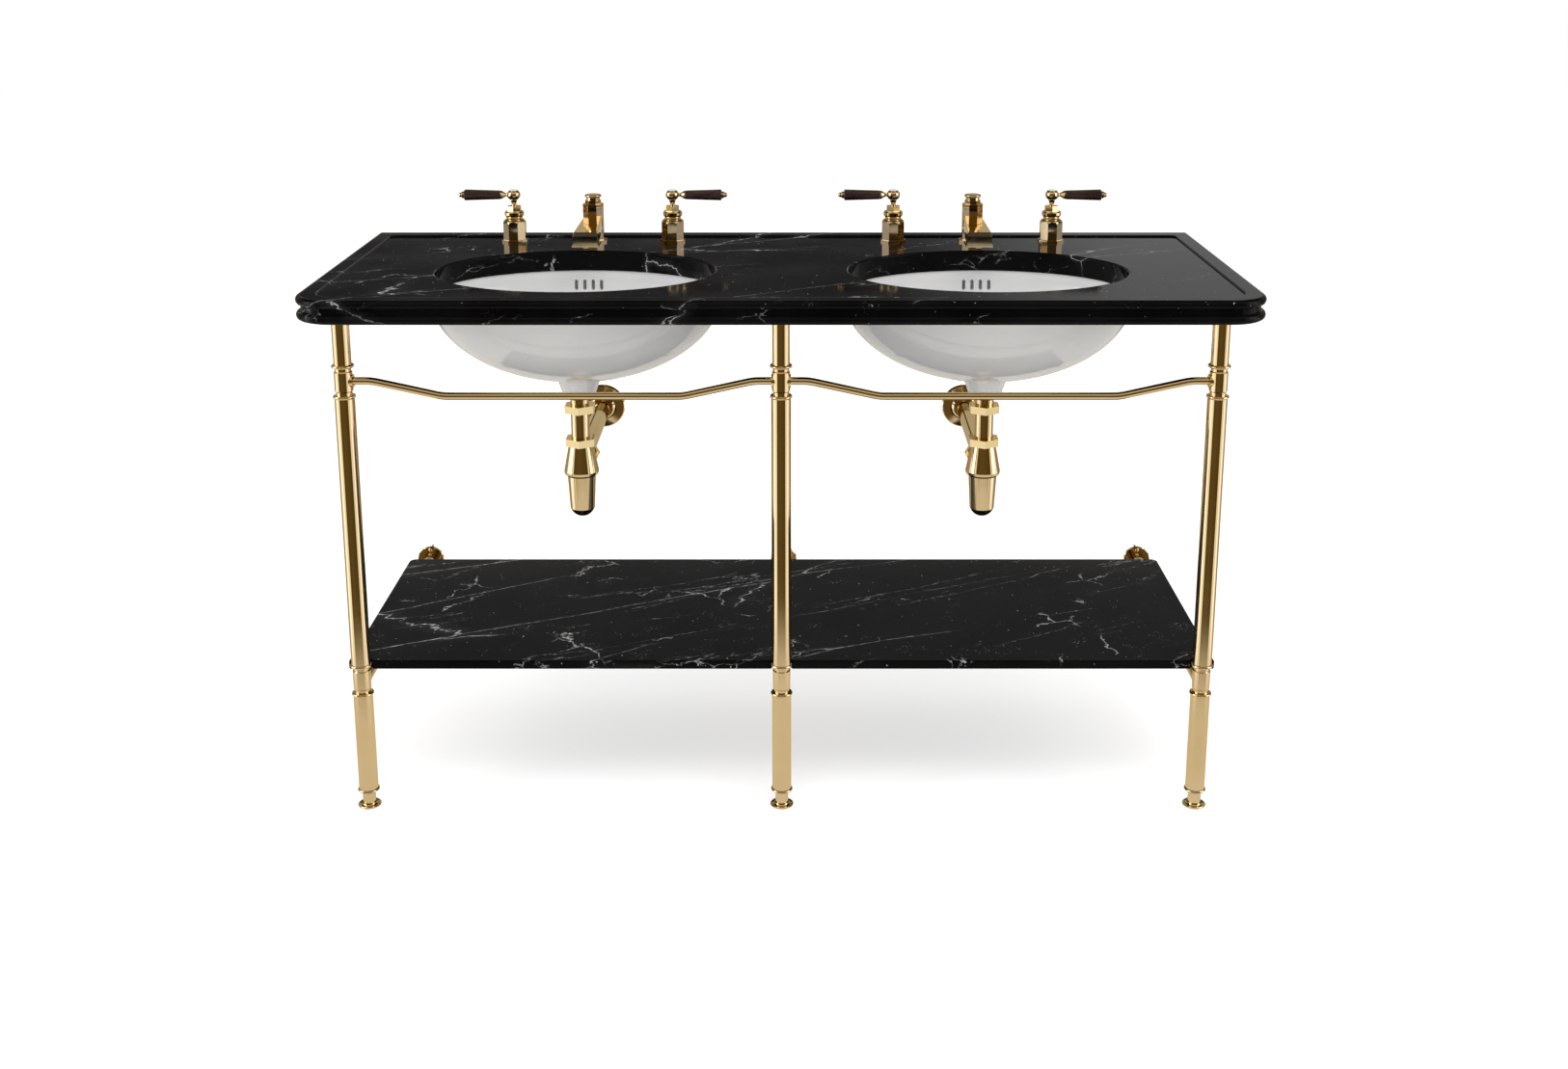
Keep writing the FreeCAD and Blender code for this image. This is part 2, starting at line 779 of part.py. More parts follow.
# ---------------------------------------------------------------- legs
def make_foot(name):
    """The levelling foot: a thin disc, a stem and the stud that screws into the leg."""
    edge, disc, stem = dim("foot_edge"), dim("foot_radius"), dim("foot_stem_radius")
    top = dim("ankle_height") - RING_HALF
    stud, cove = dim("foot_stud_radius"), dim("foot_edge") * 1.2
    outline = [(0, 0), (disc - edge / 4, 0), (disc, edge / 4), (disc, edge * 0.75), (disc - edge / 4, edge)]
    outline += [(disc - edge * 0.75, edge), (stem + cove, edge * 0.7, stem + cove, edge * 0.7 + cove)]
    outline += [(stem, edge * 0.7 + cove), (stem, top), (stud, top)]
    outline += [(stud, top + dim("foot_stud_length")), (0, top + dim("foot_stud_length"))]
    return place(turned(f"foot_{name}", outline), LEG_X[name], LEG_Y, 0)


node(group("leg_feet", [make_foot(name) for name in SIDES]))


def make_lower_leg(name):
    """The lower tube, with its ankle ring and the plug that takes the foot's stud."""
    low, high = dim("ankle_height") - RING_HALF, dim("ankle_height") + RING_HALF
    top = dim("shelf_tee_height") - TEE_END
    hole = dim("foot_stud_radius") + GAP
    outline = [(hole, low)]
    outline += ring_points(RING_RADIUS, low, high)
    outline += [(dim("leg_radius"), high), (dim("leg_radius"), top), (LEG_MIDDLE_BORE, top)]
    outline += [(LEG_MIDDLE_BORE, high + dim("ankle_plug")), (hole, high + dim("ankle_plug"))]
    return place(turned(f"lower_leg_{name}", outline), LEG_X[name], LEG_Y, 0)


def make_tube(label, radius, bore, low, high, x, y):
    """A plain length of leg tube."""
    outline = [(bore, 0), (radius, 0), (radius, high - low), (bore, high - low)]
    return place(turned(label, outline), x, y, low)


def tee_outline(lower_spigot, upper_spigot):
    """A leg connector: a ring, a neck, the sleeve, a neck, a ring, and a spigot each way."""
    offset, half = dim("tee_ring_offset"), dim("sleeve_half")
    ring, sleeve = RING_RADIUS, dim("sleeve_radius")
    neck = sleeve - dim("neck_depth")
    bevel = (sleeve - neck) / 2
    spigot = dim("spigot_length")
    outline = [(0, -TEE_END - spigot), (lower_spigot, -TEE_END - spigot), (lower_spigot, -TEE_END)]
    outline += ring_points(ring, -offset - RING_HALF, RING_HALF - offset)
    outline += [(neck, RING_HALF - offset), (neck, bevel - half - bevel * 2), (sleeve - bevel, -half)]
    outline += [(sleeve, bevel - half), (sleeve, half - bevel), (sleeve - bevel, half)]
    outline += [(neck, half + bevel), (neck, offset - RING_HALF)]
    outline += ring_points(ring, offset - RING_HALF, offset + RING_HALF)
    outline += [(upper_spigot, TEE_END), (upper_spigot, TEE_END + spigot), (0, TEE_END + spigot)]
    return outline


def make_shelf_tee(name):
    """The connector at the shelf, with a branch to the back for the bearer."""
    x, z = LEG_X[name], dim("shelf_tee_height")
    spigot = LEG_MIDDLE_BORE - GAP
    stem = place(turned(f"shelf_tee_stem_{name}", tee_outline(spigot, spigot)), x, LEG_Y, z)
    reach = dim("bearer_branch_reach")
    branch = cylinder(f"shelf_branch_{name}", dim("sleeve_radius"), reach, x, LEG_Y, z, Z_TO_Y)
    plug = cylinder(
        f"shelf_plug_{name}", BEARER_BORE - GAP, reach + dim("spigot_length"), x, LEG_Y, z, Z_TO_Y
    )
    return fuse(f"shelf_tee_{name}", [stem, branch, plug])


def make_rail_tee(name):
    """The connector at the front rails, with a socket towards each neighbouring leg."""
    x, z = LEG_X[name], RAIL_Z
    outline = tee_outline(LEG_MIDDLE_BORE - GAP, UPPER_BORE - GAP)
    solids = [place(turned(f"rail_tee_stem_{name}", outline), x, LEG_Y, z)]
    tools = []
    reach = dim("rail_branch_reach")
    for side in PAIR:
        if SIDES[name] == PAIR[side]:
            continue
        turn = Z_TO_X if PAIR[side] > 0 else Z_TO_MINUS_X
        start = dim("rail_socket") * PAIR[side]
        solids.append(
            cylinder(f"rail_branch_{name}_{side}", dim("rail_branch_radius"), reach, x, LEG_Y, z, turn)
        )
        tools.append(
            cylinder(f"rail_socket_{name}_{side}", dim("rail_radius") + GAP, reach, x + start, LEG_Y, z, turn)
        )
    return cut(f"rail_tee_{name}", fuse(f"rail_tee_solid_{name}", solids), tools)


PLATE_Z = UNDER_Z - dim("leg_plate_thickness")
for name in SIDES:
    node(make_lower_leg(name))
    node(make_shelf_tee(name))
    tube_low = dim("shelf_tee_height") + TEE_END
    tube_high = RAIL_Z - TEE_END
    tube_sizes = dim("leg_radius"), LEG_MIDDLE_BORE, tube_low, tube_high
    node(make_tube(f"main_leg_{name}", *tube_sizes, LEG_X[name], LEG_Y))
    node(make_rail_tee(name))


def make_upper_leg(name):
    """The short, thinner tube between the rail connector and the plate under the marble."""
    low = RAIL_Z + TEE_END
    return make_tube(
        f"upper_leg_{name}", dim("upper_leg_radius"), UPPER_BORE, low, PLATE_Z, LEG_X[name], LEG_Y
    )


def make_leg_plate(name):
    """The round plate bonded under the marble, with the spigot that holds the upper tube."""
    spigot, plate = UPPER_BORE - GAP, dim("leg_plate_radius")
    bevel = dim("leg_plate_thickness") / 5
    outline = [(0, -dim("spigot_length")), (spigot, -dim("spigot_length")), (spigot, 0)]
    outline += [(plate - bevel, 0), (plate, bevel), (plate, dim("leg_plate_thickness"))]
    outline += [(0, dim("leg_plate_thickness"))]
    return place(turned(f"leg_plate_{name}", outline), LEG_X[name], LEG_Y, PLATE_Z)


node(group("upper_legs", [make_upper_leg(name) for name in SIDES]))
node(group("leg_top_plates", [make_leg_plate(name) for name in SIDES]))


# ---------------------------------------------------------------- front rails
def make_front_rail(side):
    """A brass rod that runs level out of each connector and dips between the legs."""
    radius, dip = dim("rail_bend_radius"), dim("rail_dip")
    high, run = LEG_PITCH / 2 - dim("rail_end_run"), dim("rail_slope_run")
    low = high - run
    slope = root(run * run + dip * dip)
    tangent = radius * (slope - run) / dip
    step_x, step_z = tangent * run / slope, tangent * dip / slope
    end = LEG_PITCH / 2 - dim("rail_socket")
    half = [
        (-end, 0),
        (-high - tangent, 0, -high - tangent, -radius),
        (step_x - high, -step_z),
        (-low - step_x, step_z - dip, tangent - low, radius - dip),
        (tangent - low, -dip),
    ]
    mirrored = [(-point[0], point[1]) for point in reversed(half)]
    mirrored[1] = (low + step_x, step_z - dip)
    mirrored[0] = (low - tangent, -dip, low - tangent, radius - dip)
    mirrored[2] = (high - step_x, -step_z, high + tangent, -radius)
    path = doc.addObject("Sketcher::SketchObject", f"rail_path_{side}")
    draw(path, half + mirrored, closed=False)
    place(path, BASIN_X[side], LEG_Y, RAIL_Z, Z_TO_MINUS_Y)
    ring = doc.addObject("Part::Circle", f"rail_section_{side}")
    bind(ring, "Radius", dim("rail_radius"))
    place(ring, BASIN_X[side] - end, LEG_Y, RAIL_Z, Z_TO_X)
    doc.recompute()
    rail = doc.addObject("Part::Sweep", f"front_rail_{side}")
    rail.Sections = [ring]
    rail.Spine = (path, [f"Edge{number + 1}" for number in range(len(path.Shape.Edges))])
    rail.Solid = True
    rail.Transition = "Right corner"
    return rail


for side in PAIR:
    node(make_front_rail(side))


# ---------------------------------------------------------------- shelf, bearers, wall flanges
SHELF_Z = dim("shelf_tee_height") + dim("sleeve_radius")


def make_shelf():
    """The lower slab, with eased edges and a half-round notch at each leg."""
    body = doc.addObject("PartDesign::Body", "shelf_slab")
    half = LEG_PITCH + dim("shelf_side_overhang")
    front, back = LEG_Y + dim("shelf_front_offset"), WALL_Y - dim("shelf_wall_gap")
    outline = rounded_outline(-half, half, front, back, dim("shelf_corner"), dim("shelf_back_corner"))
    plate = pad(body, "shelf_plate", outline, SHELF_Z, dim("shelf_thickness"))
    doc.recompute()
    ease = body.newObject("PartDesign::Fillet", "shelf_easing")
    levels = [SHELF_Z.value, (SHELF_Z + dim("shelf_thickness")).value]
    ease.Base = (plate, edges_at(plate.Shape, levels, lambda edge, middle: True))
    bind(ease, "Radius", dim("shelf_ease"))
    notches = []
    for name in SIDES:
        radius = RING_RADIUS + dim("shelf_notch_clearance")
        height = dim("shelf_thickness") + 2
        notches.append(cylinder(f"shelf_notch_{name}", radius, height, LEG_X[name], LEG_Y, SHELF_Z - 1))
    return cut("marble_shelf", body, notches)


def make_bearer(name):
    """The tube under the shelf, from a leg's connector to its wall flange."""
    start = LEG_Y + dim("bearer_branch_reach")
    length = WALL_Y - dim("wall_flange_seat") - start
    outline = [
        (BEARER_BORE, 0), (dim("sleeve_radius"), 0), (dim("sleeve_radius"), length), (BEARER_BORE, length)
    ]
    return place(turned(f"bearer_{name}", outline), LEG_X[name], start, dim("shelf_tee_height"), Z_TO_Y)


SCREW_CIRCLE = dim("sleeve_radius") + dim("screw_head_radius") + dim("screw_head_margin")
SCREW_HOLE = dim("screw_shank_radius") + dim("screw_hole_clearance")


def screw_spots():
    """Where a flange's three screws sit round its middle, the first one at the top."""
    circle = SCREW_CIRCLE
    turns = [math.radians(90 + 120 * number) for number in range(3)]
    return [(circle * math.cos(turn), circle * math.sin(turn)) for turn in turns]


def make_wall_flange(name):
    """The round plate on the wall that a bearer ends in, drilled for three screws."""
    plate = dim("wall_flange_plate")
    radius = SCREW_CIRCLE + dim("screw_head_radius") + dim("wall_flange_margin")
    socket, seat = dim("sleeve_radius") + GAP, dim("wall_flange_seat")
    bevel = plate / 3
    outline = [(0, 0), (radius, 0), (radius, plate - bevel), (radius - bevel, plate), (socket, plate)]
    outline += [(socket, seat), (0, seat)]
    z = dim("shelf_tee_height")
    disc = place(turned(f"wall_flange_disc_{name}", outline), LEG_X[name], WALL_Y, z, Z_TO_MINUS_Y)
    tools = []
    for number, (across, up) in enumerate(screw_spots()):
        tools.append(
            cylinder(
                f"flange_hole_{name}_{number}",
                SCREW_HOLE,
                plate + 2,
                LEG_X[name] + across,
                WALL_Y + 1,
                z + up,
                Z_TO_MINUS_Y,
            )
        )
    return cut(f"wall_flange_{name}", disc, tools)


def make_screw(label, seat, x, z):
    """A domed wall screw whose head sits on a plate of the given thickness."""
    head, rise, shank = dim("screw_head_radius"), dim("screw_head_height"), dim("screw_shank_radius")
    tip = -dim("screw_length")
    point = shank / 4
    outline = [(0, tip), (point, tip), (shank, tip + shank), (shank, 0), (head, 0), (head, rise / 3)]
    sphere = (head * head + rise * rise * (4 / 9)) / (rise * (4 / 3))
    outline[-1] = (head, rise / 3, 0, rise - sphere)
    outline += [(0, rise)]
    return place(turned(label, outline), x, WALL_Y - seat, z, Z_TO_MINUS_Y)


BRACKET_X = {name: sign * dim("bracket_offset") for name, sign in SIDES.items()}
BRACKET_Z = UNDER_Z - dim("bracket_leg") / 2


def make_bracket(name):
    """The angle that ties the marble top back to the wall, with two screw holes."""
    width, leg, plate = dim("bracket_width"), dim("bracket_leg"), dim("bracket_plate")
    x = BRACKET_X[name]
    upright = block(
        f"bracket_upright_{name}", width, plate, leg, x - width / 2, WALL_Y - plate, UNDER_Z - leg
    )
    level = block(f"bracket_level_{name}", width, leg, plate, x - width / 2, WALL_Y - leg, UNDER_Z - plate)
    tools = []
    for sign in (-1, 1):
        hole_x = x + dim("bracket_hole_spacing") / 2 * sign
        tools.append(
            cylinder(
                f"bracket_hole_{name}_{sign + 1}",
                SCREW_HOLE,
                plate + 2,
                hole_x,
                WALL_Y + 1,
                BRACKET_Z,
                Z_TO_MINUS_Y,
            )
        )
    return cut(f"bracket_{name}", fuse(f"bracket_angle_{name}", [upright, level]), tools)


def make_wall_screws():
    """The three screws of each flange."""
    screws = []
    for name in SIDES:
        for number, (across, up) in enumerate(screw_spots()):
            label = f"flange_screw_{name}_{number}"
            z = dim("shelf_tee_height") + up
            screws.append(make_screw(label, dim("wall_flange_plate"), LEG_X[name] + across, z))
    return screws


node(make_shelf())
node(group("shelf_bearers", [make_bearer(name) for name in SIDES]))
node(group("shelf_wall_flanges", [make_wall_flange(name) for name in SIDES]))
node(group("top_wall_brackets", [make_bracket(name) for name in SIDES]))
node(group("wall_screws", make_wall_screws()))


# ---------------------------------------------------------------- pop-up waste
PORT_RADIUS = dim("pivot_ball_radius") + dim("port_wall")
PORT_Z = NECK_Z - dim("waste_nut_height") - dim("port_clearance") - PORT_RADIUS
PORT_Y = BASIN_Y + dim("port_reach")
PIPE_BORE = dim("pipe_radius") - dim("pipe_wall")
UPPER_NUT_Z = PORT_Z - PORT_RADIUS - dim("port_clearance") - dim("trap_nut_length") / 2
LOWER_NUT_Z = UPPER_NUT_Z - dim("nut_spacing")
OUTLET_Z = LOWER_NUT_Z - dim("outlet_drop")
OUTER_ARM = TAP_Y - PORT_Y
PIVOT_TILT = math.degrees(math.atan2(dim("lift_travel").value / 2, OUTER_ARM.value))
PLUG_RISE = dim("port_reach") * dim("lift_travel") / OUTER_ARM
WASTE_RADIUS = dim("drain_hole_radius") - dim("waste_clearance")
MOUTH = WASTE_RADIUS - dim("waste_wall")


def make_waste(side):
    """The drain: its flange in the bowl, the body through the neck, the tail and the port."""
    x, body_radius, tail = BASIN_X[side], WASTE_RADIUS, dim("pipe_radius")
    flange, rise = dim("waste_flange_radius"), dim("waste_flange_rise")
    shoulder = NECK_Z - dim("waste_nut_height")
    outline = [
        (MOUTH, SEAT_Z + rise), (flange - rise, SEAT_Z + rise), (flange, SEAT_Z + rise / 2), (flange, SEAT_Z)
    ]
    outline += [(body_radius, SEAT_Z), (body_radius, shoulder), (tail, shoulder - 1), (tail, UPPER_NUT_Z)]
    outline += [(PIPE_BORE, UPPER_NUT_Z), (PIPE_BORE, shoulder + 2), (MOUTH, shoulder + 6)]
    drain = place(turned(f"drain_body_{side}", outline), x, BASIN_Y, 0)
    port = cylinder(
        f"port_{side}",
        PORT_RADIUS,
        dim("port_reach") + dim("port_lip") - PIPE_BORE - 0.5,
        x,
        BASIN_Y + PIPE_BORE + 0.5,
        PORT_Z,
        Z_TO_Y,
    )
    ball_room = cylinder(
        f"ball_room_{side}",
        dim("pivot_ball_radius") + RUNNING_FIT,
        dim("port_reach") - PIPE_BORE + 5,
        x,
        BASIN_Y + PIPE_BORE - 1,
        PORT_Z,
        Z_TO_Y,
    )
    mouth = cylinder(
        f"port_mouth_{side}",
        dim("pivot_rod_radius") + dim("linkage_clearance") + 0.4,
        dim("port_reach"),
        x,
        BASIN_Y + PIPE_BORE,
        PORT_Z,
        Z_TO_Y,
    )
    return cut(f"waste_{side}", fuse(f"waste_solid_{side}", [drain, port]), [ball_room, mouth])


def make_plug(side):
    """The plug at rest, raised off its seat, with the eye that the pivot rod lifts."""
    radius, thickness, stem = MOUTH - dim("plug_clearance"), dim("plug_thickness"), dim("plug_stem_radius")
    top = SEAT_Z + dim("waste_flange_rise") + PLUG_RISE
    eye = PORT_Z + PLUG_RISE / 2
    dome = thickness / 3
    sphere = (radius * radius + dome * dome) / (dome * 2)
    outline = [
        (0, eye - stem * 1.4), (stem, eye - stem * 1.4), (stem, top - thickness), (radius, top - thickness)
    ]
    outline += [(radius, top - dome, 0, top - sphere), (0, top)]
    disc = place(turned(f"plug_disc_{side}", outline), BASIN_X[side], BASIN_Y, 0)
    hole = cylinder(
        f"plug_eye_{side}",
        dim("pivot_rod_radius") + dim("linkage_clearance"),
        stem * 4,
        BASIN_X[side],
        BASIN_Y - stem * 2,
        eye,
        Z_TO_Y,
    )
    return cut(f"plug_{side}", disc, [hole])


def make_pivot(side):
    """The rod that turns on its ball in the port: its outer end hangs low at rest."""
    rod, ball = dim("pivot_rod_radius"), dim("pivot_ball_radius")
    inner = dim("port_reach") + dim("plug_stem_radius") * 0.8
    outer = OUTER_ARM + dim("strap_thickness") * 2
    bite = root(ball * ball - rod * rod)
    outline = [(0, -inner), (rod, -inner), (rod, -bite, 0, 0), (rod, bite), (rod, outer), (0, outer)]
    turn = FreeCAD.Rotation(X_AXIS, -90 - PIVOT_TILT)
    return place(turned(f"pivot_rod_{side}", outline), BASIN_X[side], PORT_Y, PORT_Z, turn)


def make_lift_rod(side):
    """The knob on the spout, its rod down behind the bowl, and the strap at its end."""
    x, rod = BASIN_X[side], dim("lift_rod_radius")
    seat = FIELD_Z + dim("pillar_height")
    base = prism(
        f"knob_base_{side}", 8, dim("knob_base_width") * OCTAGON, dim("knob_base_height"),
        x, TAP_Y, seat, OCTAGON_TURN,
    )
    low = dim("knob_base_height") - 0.5
    neck_top = dim("knob_base_height") + dim("knob_neck_height")
    cap_top = neck_top + dim("knob_cap_height")
    neck, cap, edge = dim("knob_neck_radius"), dim("knob_cap_radius"), dim("knob_cap_height") / 2
    outline = [(0, low), (neck, low), (neck, neck_top)]
    outline += ring_points(cap, neck_top, cap_top) + [(0, cap_top)]
    head = place(turned(f"knob_cap_{side}", outline), x, TAP_Y, seat)
    eye = PORT_Z - dim("lift_travel") / 2
    width, thick = dim("strap_width"), dim("strap_thickness")
    strap_low = eye - width / 2
    strap_top = strap_low + dim("strap_length")
    shaft = cylinder(f"lift_shaft_{side}", rod, seat + 1 - strap_top + width, x, TAP_Y, strap_top - width)
    strap = block(
        f"lift_strap_{side}", width, thick, dim("strap_length"), x - width / 2, TAP_Y - thick / 2, strap_low
    )
    hole = cylinder(
        f"strap_hole_{side}",
        dim("pivot_rod_radius") + dim("linkage_clearance"),
        thick + 4,
        x,
        TAP_Y - thick / 2 - 2,
        eye,
        Z_TO_Y,
    )
    return cut(f"lift_rod_{side}", fuse(f"lift_solid_{side}", [base, head, shaft, strap]), [hole])


for side in PAIR:
    node(make_waste(side))
    node(make_plug(side))
    node(make_pivot(side))
    node(make_lift_rod(side))


# ---------------------------------------------------------------- bottle traps
BELL_TOP = LOWER_NUT_Z - dim("trap_nut_length") / 2
BELL_RIM = BELL_TOP - dim("bell_length")
BELL_LOW = BELL_RIM - dim("bell_skirt")


def make_bell(side):
    """The conical upper body of the trap, with the boss of its outlet at the back."""
    x, pipe = BASIN_X[side], dim("pipe_radius") + GAP
    top, wide, cup = dim("bell_top_radius"), dim("bell_radius"), dim("trap_cup_radius") + GAP
    skirt = dim("bell_skirt")
    wall = dim("trap_cup_wall")
    outline = [
        (0, BELL_TOP), (top, BELL_TOP), (wide, BELL_RIM), (wide - skirt * 0.07, BELL_RIM - skirt * 0.6)
    ]
    outline += [(wide - skirt * 0.35, BELL_LOW), (0, BELL_LOW)]
    outline.reverse()
    shell = place(turned(f"bell_shell_{side}", outline), x, BASIN_Y, 0)
    room = [(0, BELL_LOW - 1), (cup, BELL_LOW - 1), (cup, BELL_RIM), (top - wall, BELL_TOP - wall * 2)]
    room += [(pipe, BELL_TOP - wall * 2), (pipe, BELL_TOP + 1), (0, BELL_TOP + 1)]
    hollow = place(turned(f"bell_room_{side}", room), x, BASIN_Y, 0)
    reach, z = dim("outlet_boss_reach"), OUTLET_Z
    boss = cylinder(f"outlet_boss_{side}", dim("outlet_boss_radius"), reach, x, BASIN_Y, z, Z_TO_Y)
    bore = cylinder(f"outlet_bore_{side}", PIPE_BORE, reach + 1, x, BASIN_Y, z, Z_TO_Y)
    return cut(f"trap_bell_{side}", fuse(f"bell_solid_{side}", [shell, boss]), [hollow, bore])


def make_cup(side):
    """The round-ended cup that screws up into the bell."""
    radius, end = dim("trap_cup_radius"), dim("trap_cup_end_radius")
    wall, rise = dim("trap_cup_wall"), dim("trap_cup_end_rise")
    top, shoulder = BELL_RIM, BELL_LOW - dim("trap_cup_length")
    sphere = (end * end + rise * rise) / (rise * 2)
    low = shoulder - rise
    outline = [(0, low + wall), (0, low, 0, low + sphere), (end, shoulder), (radius, BELL_LOW), (radius, top)]
    outline += [(radius - wall, top), (radius - wall, BELL_LOW), (end - wall, shoulder)]
    return place(turned(f"trap_cup_{side}", outline), BASIN_X[side], BASIN_Y, 0)


def make_inlet_pipe(side):
    """The pipe from the upper nut down through the bell into the cup's water."""
    low, high = BELL_LOW - dim("trap_cup_length") / 2, UPPER_NUT_Z
    return make_tube(f"inlet_pipe_{side}", dim("pipe_radius"), PIPE_BORE, low, high, BASIN_X[side], BASIN_Y)


def make_outlet_pipe(side):
    """The level pipe from the trap's boss through the wall flange into the wall."""
    start = BASIN_Y + dim("outlet_boss_reach")
    length = WALL_Y + dim("wall_stub") - start
    pipe, shoulder = dim("pipe_radius"), length - dim("wall_stub")
    end = pipe - dim("wall_stub_relief")
    outline = [
        (PIPE_BORE, 0), (pipe, 0), (pipe, shoulder), (end, shoulder), (end, length), (PIPE_BORE, length)
    ]
    tube = turned(f"outlet_pipe_{side}", outline)
    return place(tube, BASIN_X[side], start, OUTLET_Z, Z_TO_Y)


def make_nut(label, sides, circumradius, length, bore, x, y, z, turn):
    """A nut with its bore, from its lower face."""
    solid = prism(label + "_solid", sides, circumradius, length, x, y, z, turn)
    hole = cylinder(label + "_hole", bore, length, x, y, z, turn)
    return cut(label, solid, [hole])


def make_ring_nut(label, bore, radius, height, x, y, top):
    """A round nut that is screwed up against something flat above it."""
    outline = [(bore, 0), (radius, 0), (radius, height), (bore, height)]
    return place(turned(label, outline), x, y, top - height)


def make_waste_nut(side):
    """The ring nut that draws the waste down on the basin's neck."""
    bore, height = WASTE_RADIUS + GAP, dim("waste_nut_height")
    return make_ring_nut(
        f"neck_nut_{side}", bore, dim("waste_nut_radius"), height, BASIN_X[side], BASIN_Y, NECK_Z
    )


def make_trap_nuts(side):
    """The three six-sided nuts of the trap, sized across their flats."""
    x, length, hole = BASIN_X[side], dim("trap_nut_length"), dim("pipe_radius") + GAP
    radius = dim("trap_nut_radius") * HEXAGON
    solids = []
    for label, middle in (("upper", UPPER_NUT_Z), ("lower", LOWER_NUT_Z)):
        low = middle - length / 2
        solids.append(make_nut(f"{label}_nut_{side}", 6, radius, length, hole, x, BASIN_Y, low, HEX_TURN))
    boss_end = BASIN_Y + dim("outlet_boss_reach")
    solids.append(make_nut(
        f"outlet_nut_{side}",
        6,
        dim("outlet_nut_radius"),
        dim("outlet_nut_length"),
        hole,
        x,
        boss_end,
        OUTLET_Z,
        Z_TO_Y,
    ))
    return solids


def make_trap_flange(side):
    """The large round plate and hub that cover the outlet's hole in the wall."""
    bore, disc, hub = dim("pipe_radius") + GAP, dim("trap_flange_radius"), dim("trap_flange_hub_radius")
    length = dim("trap_flange_hub_length")
    outline = [(bore, 0), (disc, 0), (disc, length * 0.14), (disc - length * 0.14, length * 0.28)]
    outline += [(hub + length * 0.2, length * 0.36), (hub, length * 0.45), (hub, length * 0.75)]
    outline += [(hub - length * 0.2, length), (bore, length)]
    return place(turned(f"trap_flange_{side}", outline), BASIN_X[side], WALL_Y, OUTLET_Z, Z_TO_MINUS_Y)


for side in PAIR:
    node(make_bell(side))
    node(make_cup(side))
TRAP_NUTS = [nut for side in PAIR for nut in make_trap_nuts(side)]
TRAP_PIPES = [make_inlet_pipe(side) for side in PAIR] + [make_outlet_pipe(side) for side in PAIR]
node(group("waste_nuts", [make_waste_nut(side) for side in PAIR]))
node(group("trap_pipes", TRAP_PIPES))
node(group("trap_wall_flanges", [make_trap_flange(side) for side in PAIR]))


# ---------------------------------------------------------------- tap sets
NUT_TOP = dim("valve_body_top") + dim("collar_rise")
LEVER_RISE = NUT_TOP + dim("lever_rise")
BUTTON_SHARE = 0.74
BUTTON_RADIUS = dim("hub_radius") * BUTTON_SHARE - dim("button_rim")
VALVES = {name: x for name, x in TAPS.items() if not name.endswith("spout")}


def points_left(name):
    """Whether a lever lies to the left of its own spout and so points to the left."""
    return name in ("left_outer", "right_inner")


def make_valve(name):
    """A side valve: eight-sided base and body, turned shoulder and collar, nut and tails."""
    x = TAPS[name]
    base, top = dim("tap_base_height"), dim("valve_body_top")
    corner = dim("valve_width") * OCTAGON
    shoulder = dim("valve_width") / 4
    neck, collar = dim("valve_collar_radius") * 0.82, dim("valve_collar_radius")
    foot = prism(
        f"valve_base_{name}", 8, dim("tap_base_width") * OCTAGON, base, x, TAP_Y, FIELD_Z, OCTAGON_TURN
    )
    facets = prism(f"valve_facets_{name}", 8, corner, top + shoulder, x, TAP_Y, FIELD_Z, OCTAGON_TURN)
    across = neck - corner + shoulder
    rise = root(shoulder * shoulder - across * across)
    start = top - rise + shoulder * 0.35
    dome = [(0, base / 2), (corner, base / 2), (corner, start, corner - shoulder, start)]
    dome += [(neck, start + rise), (0, start + rise)]
    envelope = place(turned(f"valve_envelope_{name}", dome), x, TAP_Y, FIELD_Z)
    body = common(f"valve_body_{name}", facets, envelope)
    nut_top = NUT_TOP
    low = start + rise - 1
    step = (nut_top - start - rise) / 10
    turning = [(0, low), (neck, low), (neck, start + rise + step), (collar * 0.92, start + rise + step * 2)]
    turning += [(collar, start + rise + step * 3), (collar, start + rise + step * 5)]
    turning += [(collar * 0.9, start + rise + step * 6), (0, start + rise + step * 6)]
    ring = place(turned(f"valve_collar_{name}", turning), x, TAP_Y, FIELD_Z)
    nut_low = start + rise + step * 6
    nut = prism(
        f"valve_nut_{name}", 6, dim("valve_nut_radius"), nut_top - nut_low,
        x, TAP_Y, FIELD_Z + nut_low, HEX_TURN,
    )
    shank = cylinder(
        f"valve_shank_{name}", dim("shank_radius"), dim("shank_length"),
        x, TAP_Y, FIELD_Z - dim("shank_length"),
    )
    tail_low = FIELD_Z - dim("shank_length") - dim("inlet_tail_length")
    tail = cylinder(
        f"valve_tail_{name}", dim("inlet_tail_radius"), dim("inlet_tail_length"), x, TAP_Y, tail_low
    )
    solid = fuse(f"valve_solid_{name}", [foot, body, ring, nut, shank, tail])
    spindle_depth = NUT_TOP / 3
    spindle = cylinder(
        f"valve_spindle_hole_{name}",
        dim("spindle_radius") + RUNNING_FIT,
        spindle_depth + 1,
        x,
        TAP_Y,
        FIELD_Z + nut_top - spindle_depth,
    )
    water = cylinder(
        f"valve_bore_{name}",
        dim("shank_bore_radius"),
        dim("shank_length") + dim("inlet_tail_length") / 2,
        x,
        TAP_Y,
        tail_low - 1,
    )
    return cut(f"valve_{name}", solid, [spindle, water])


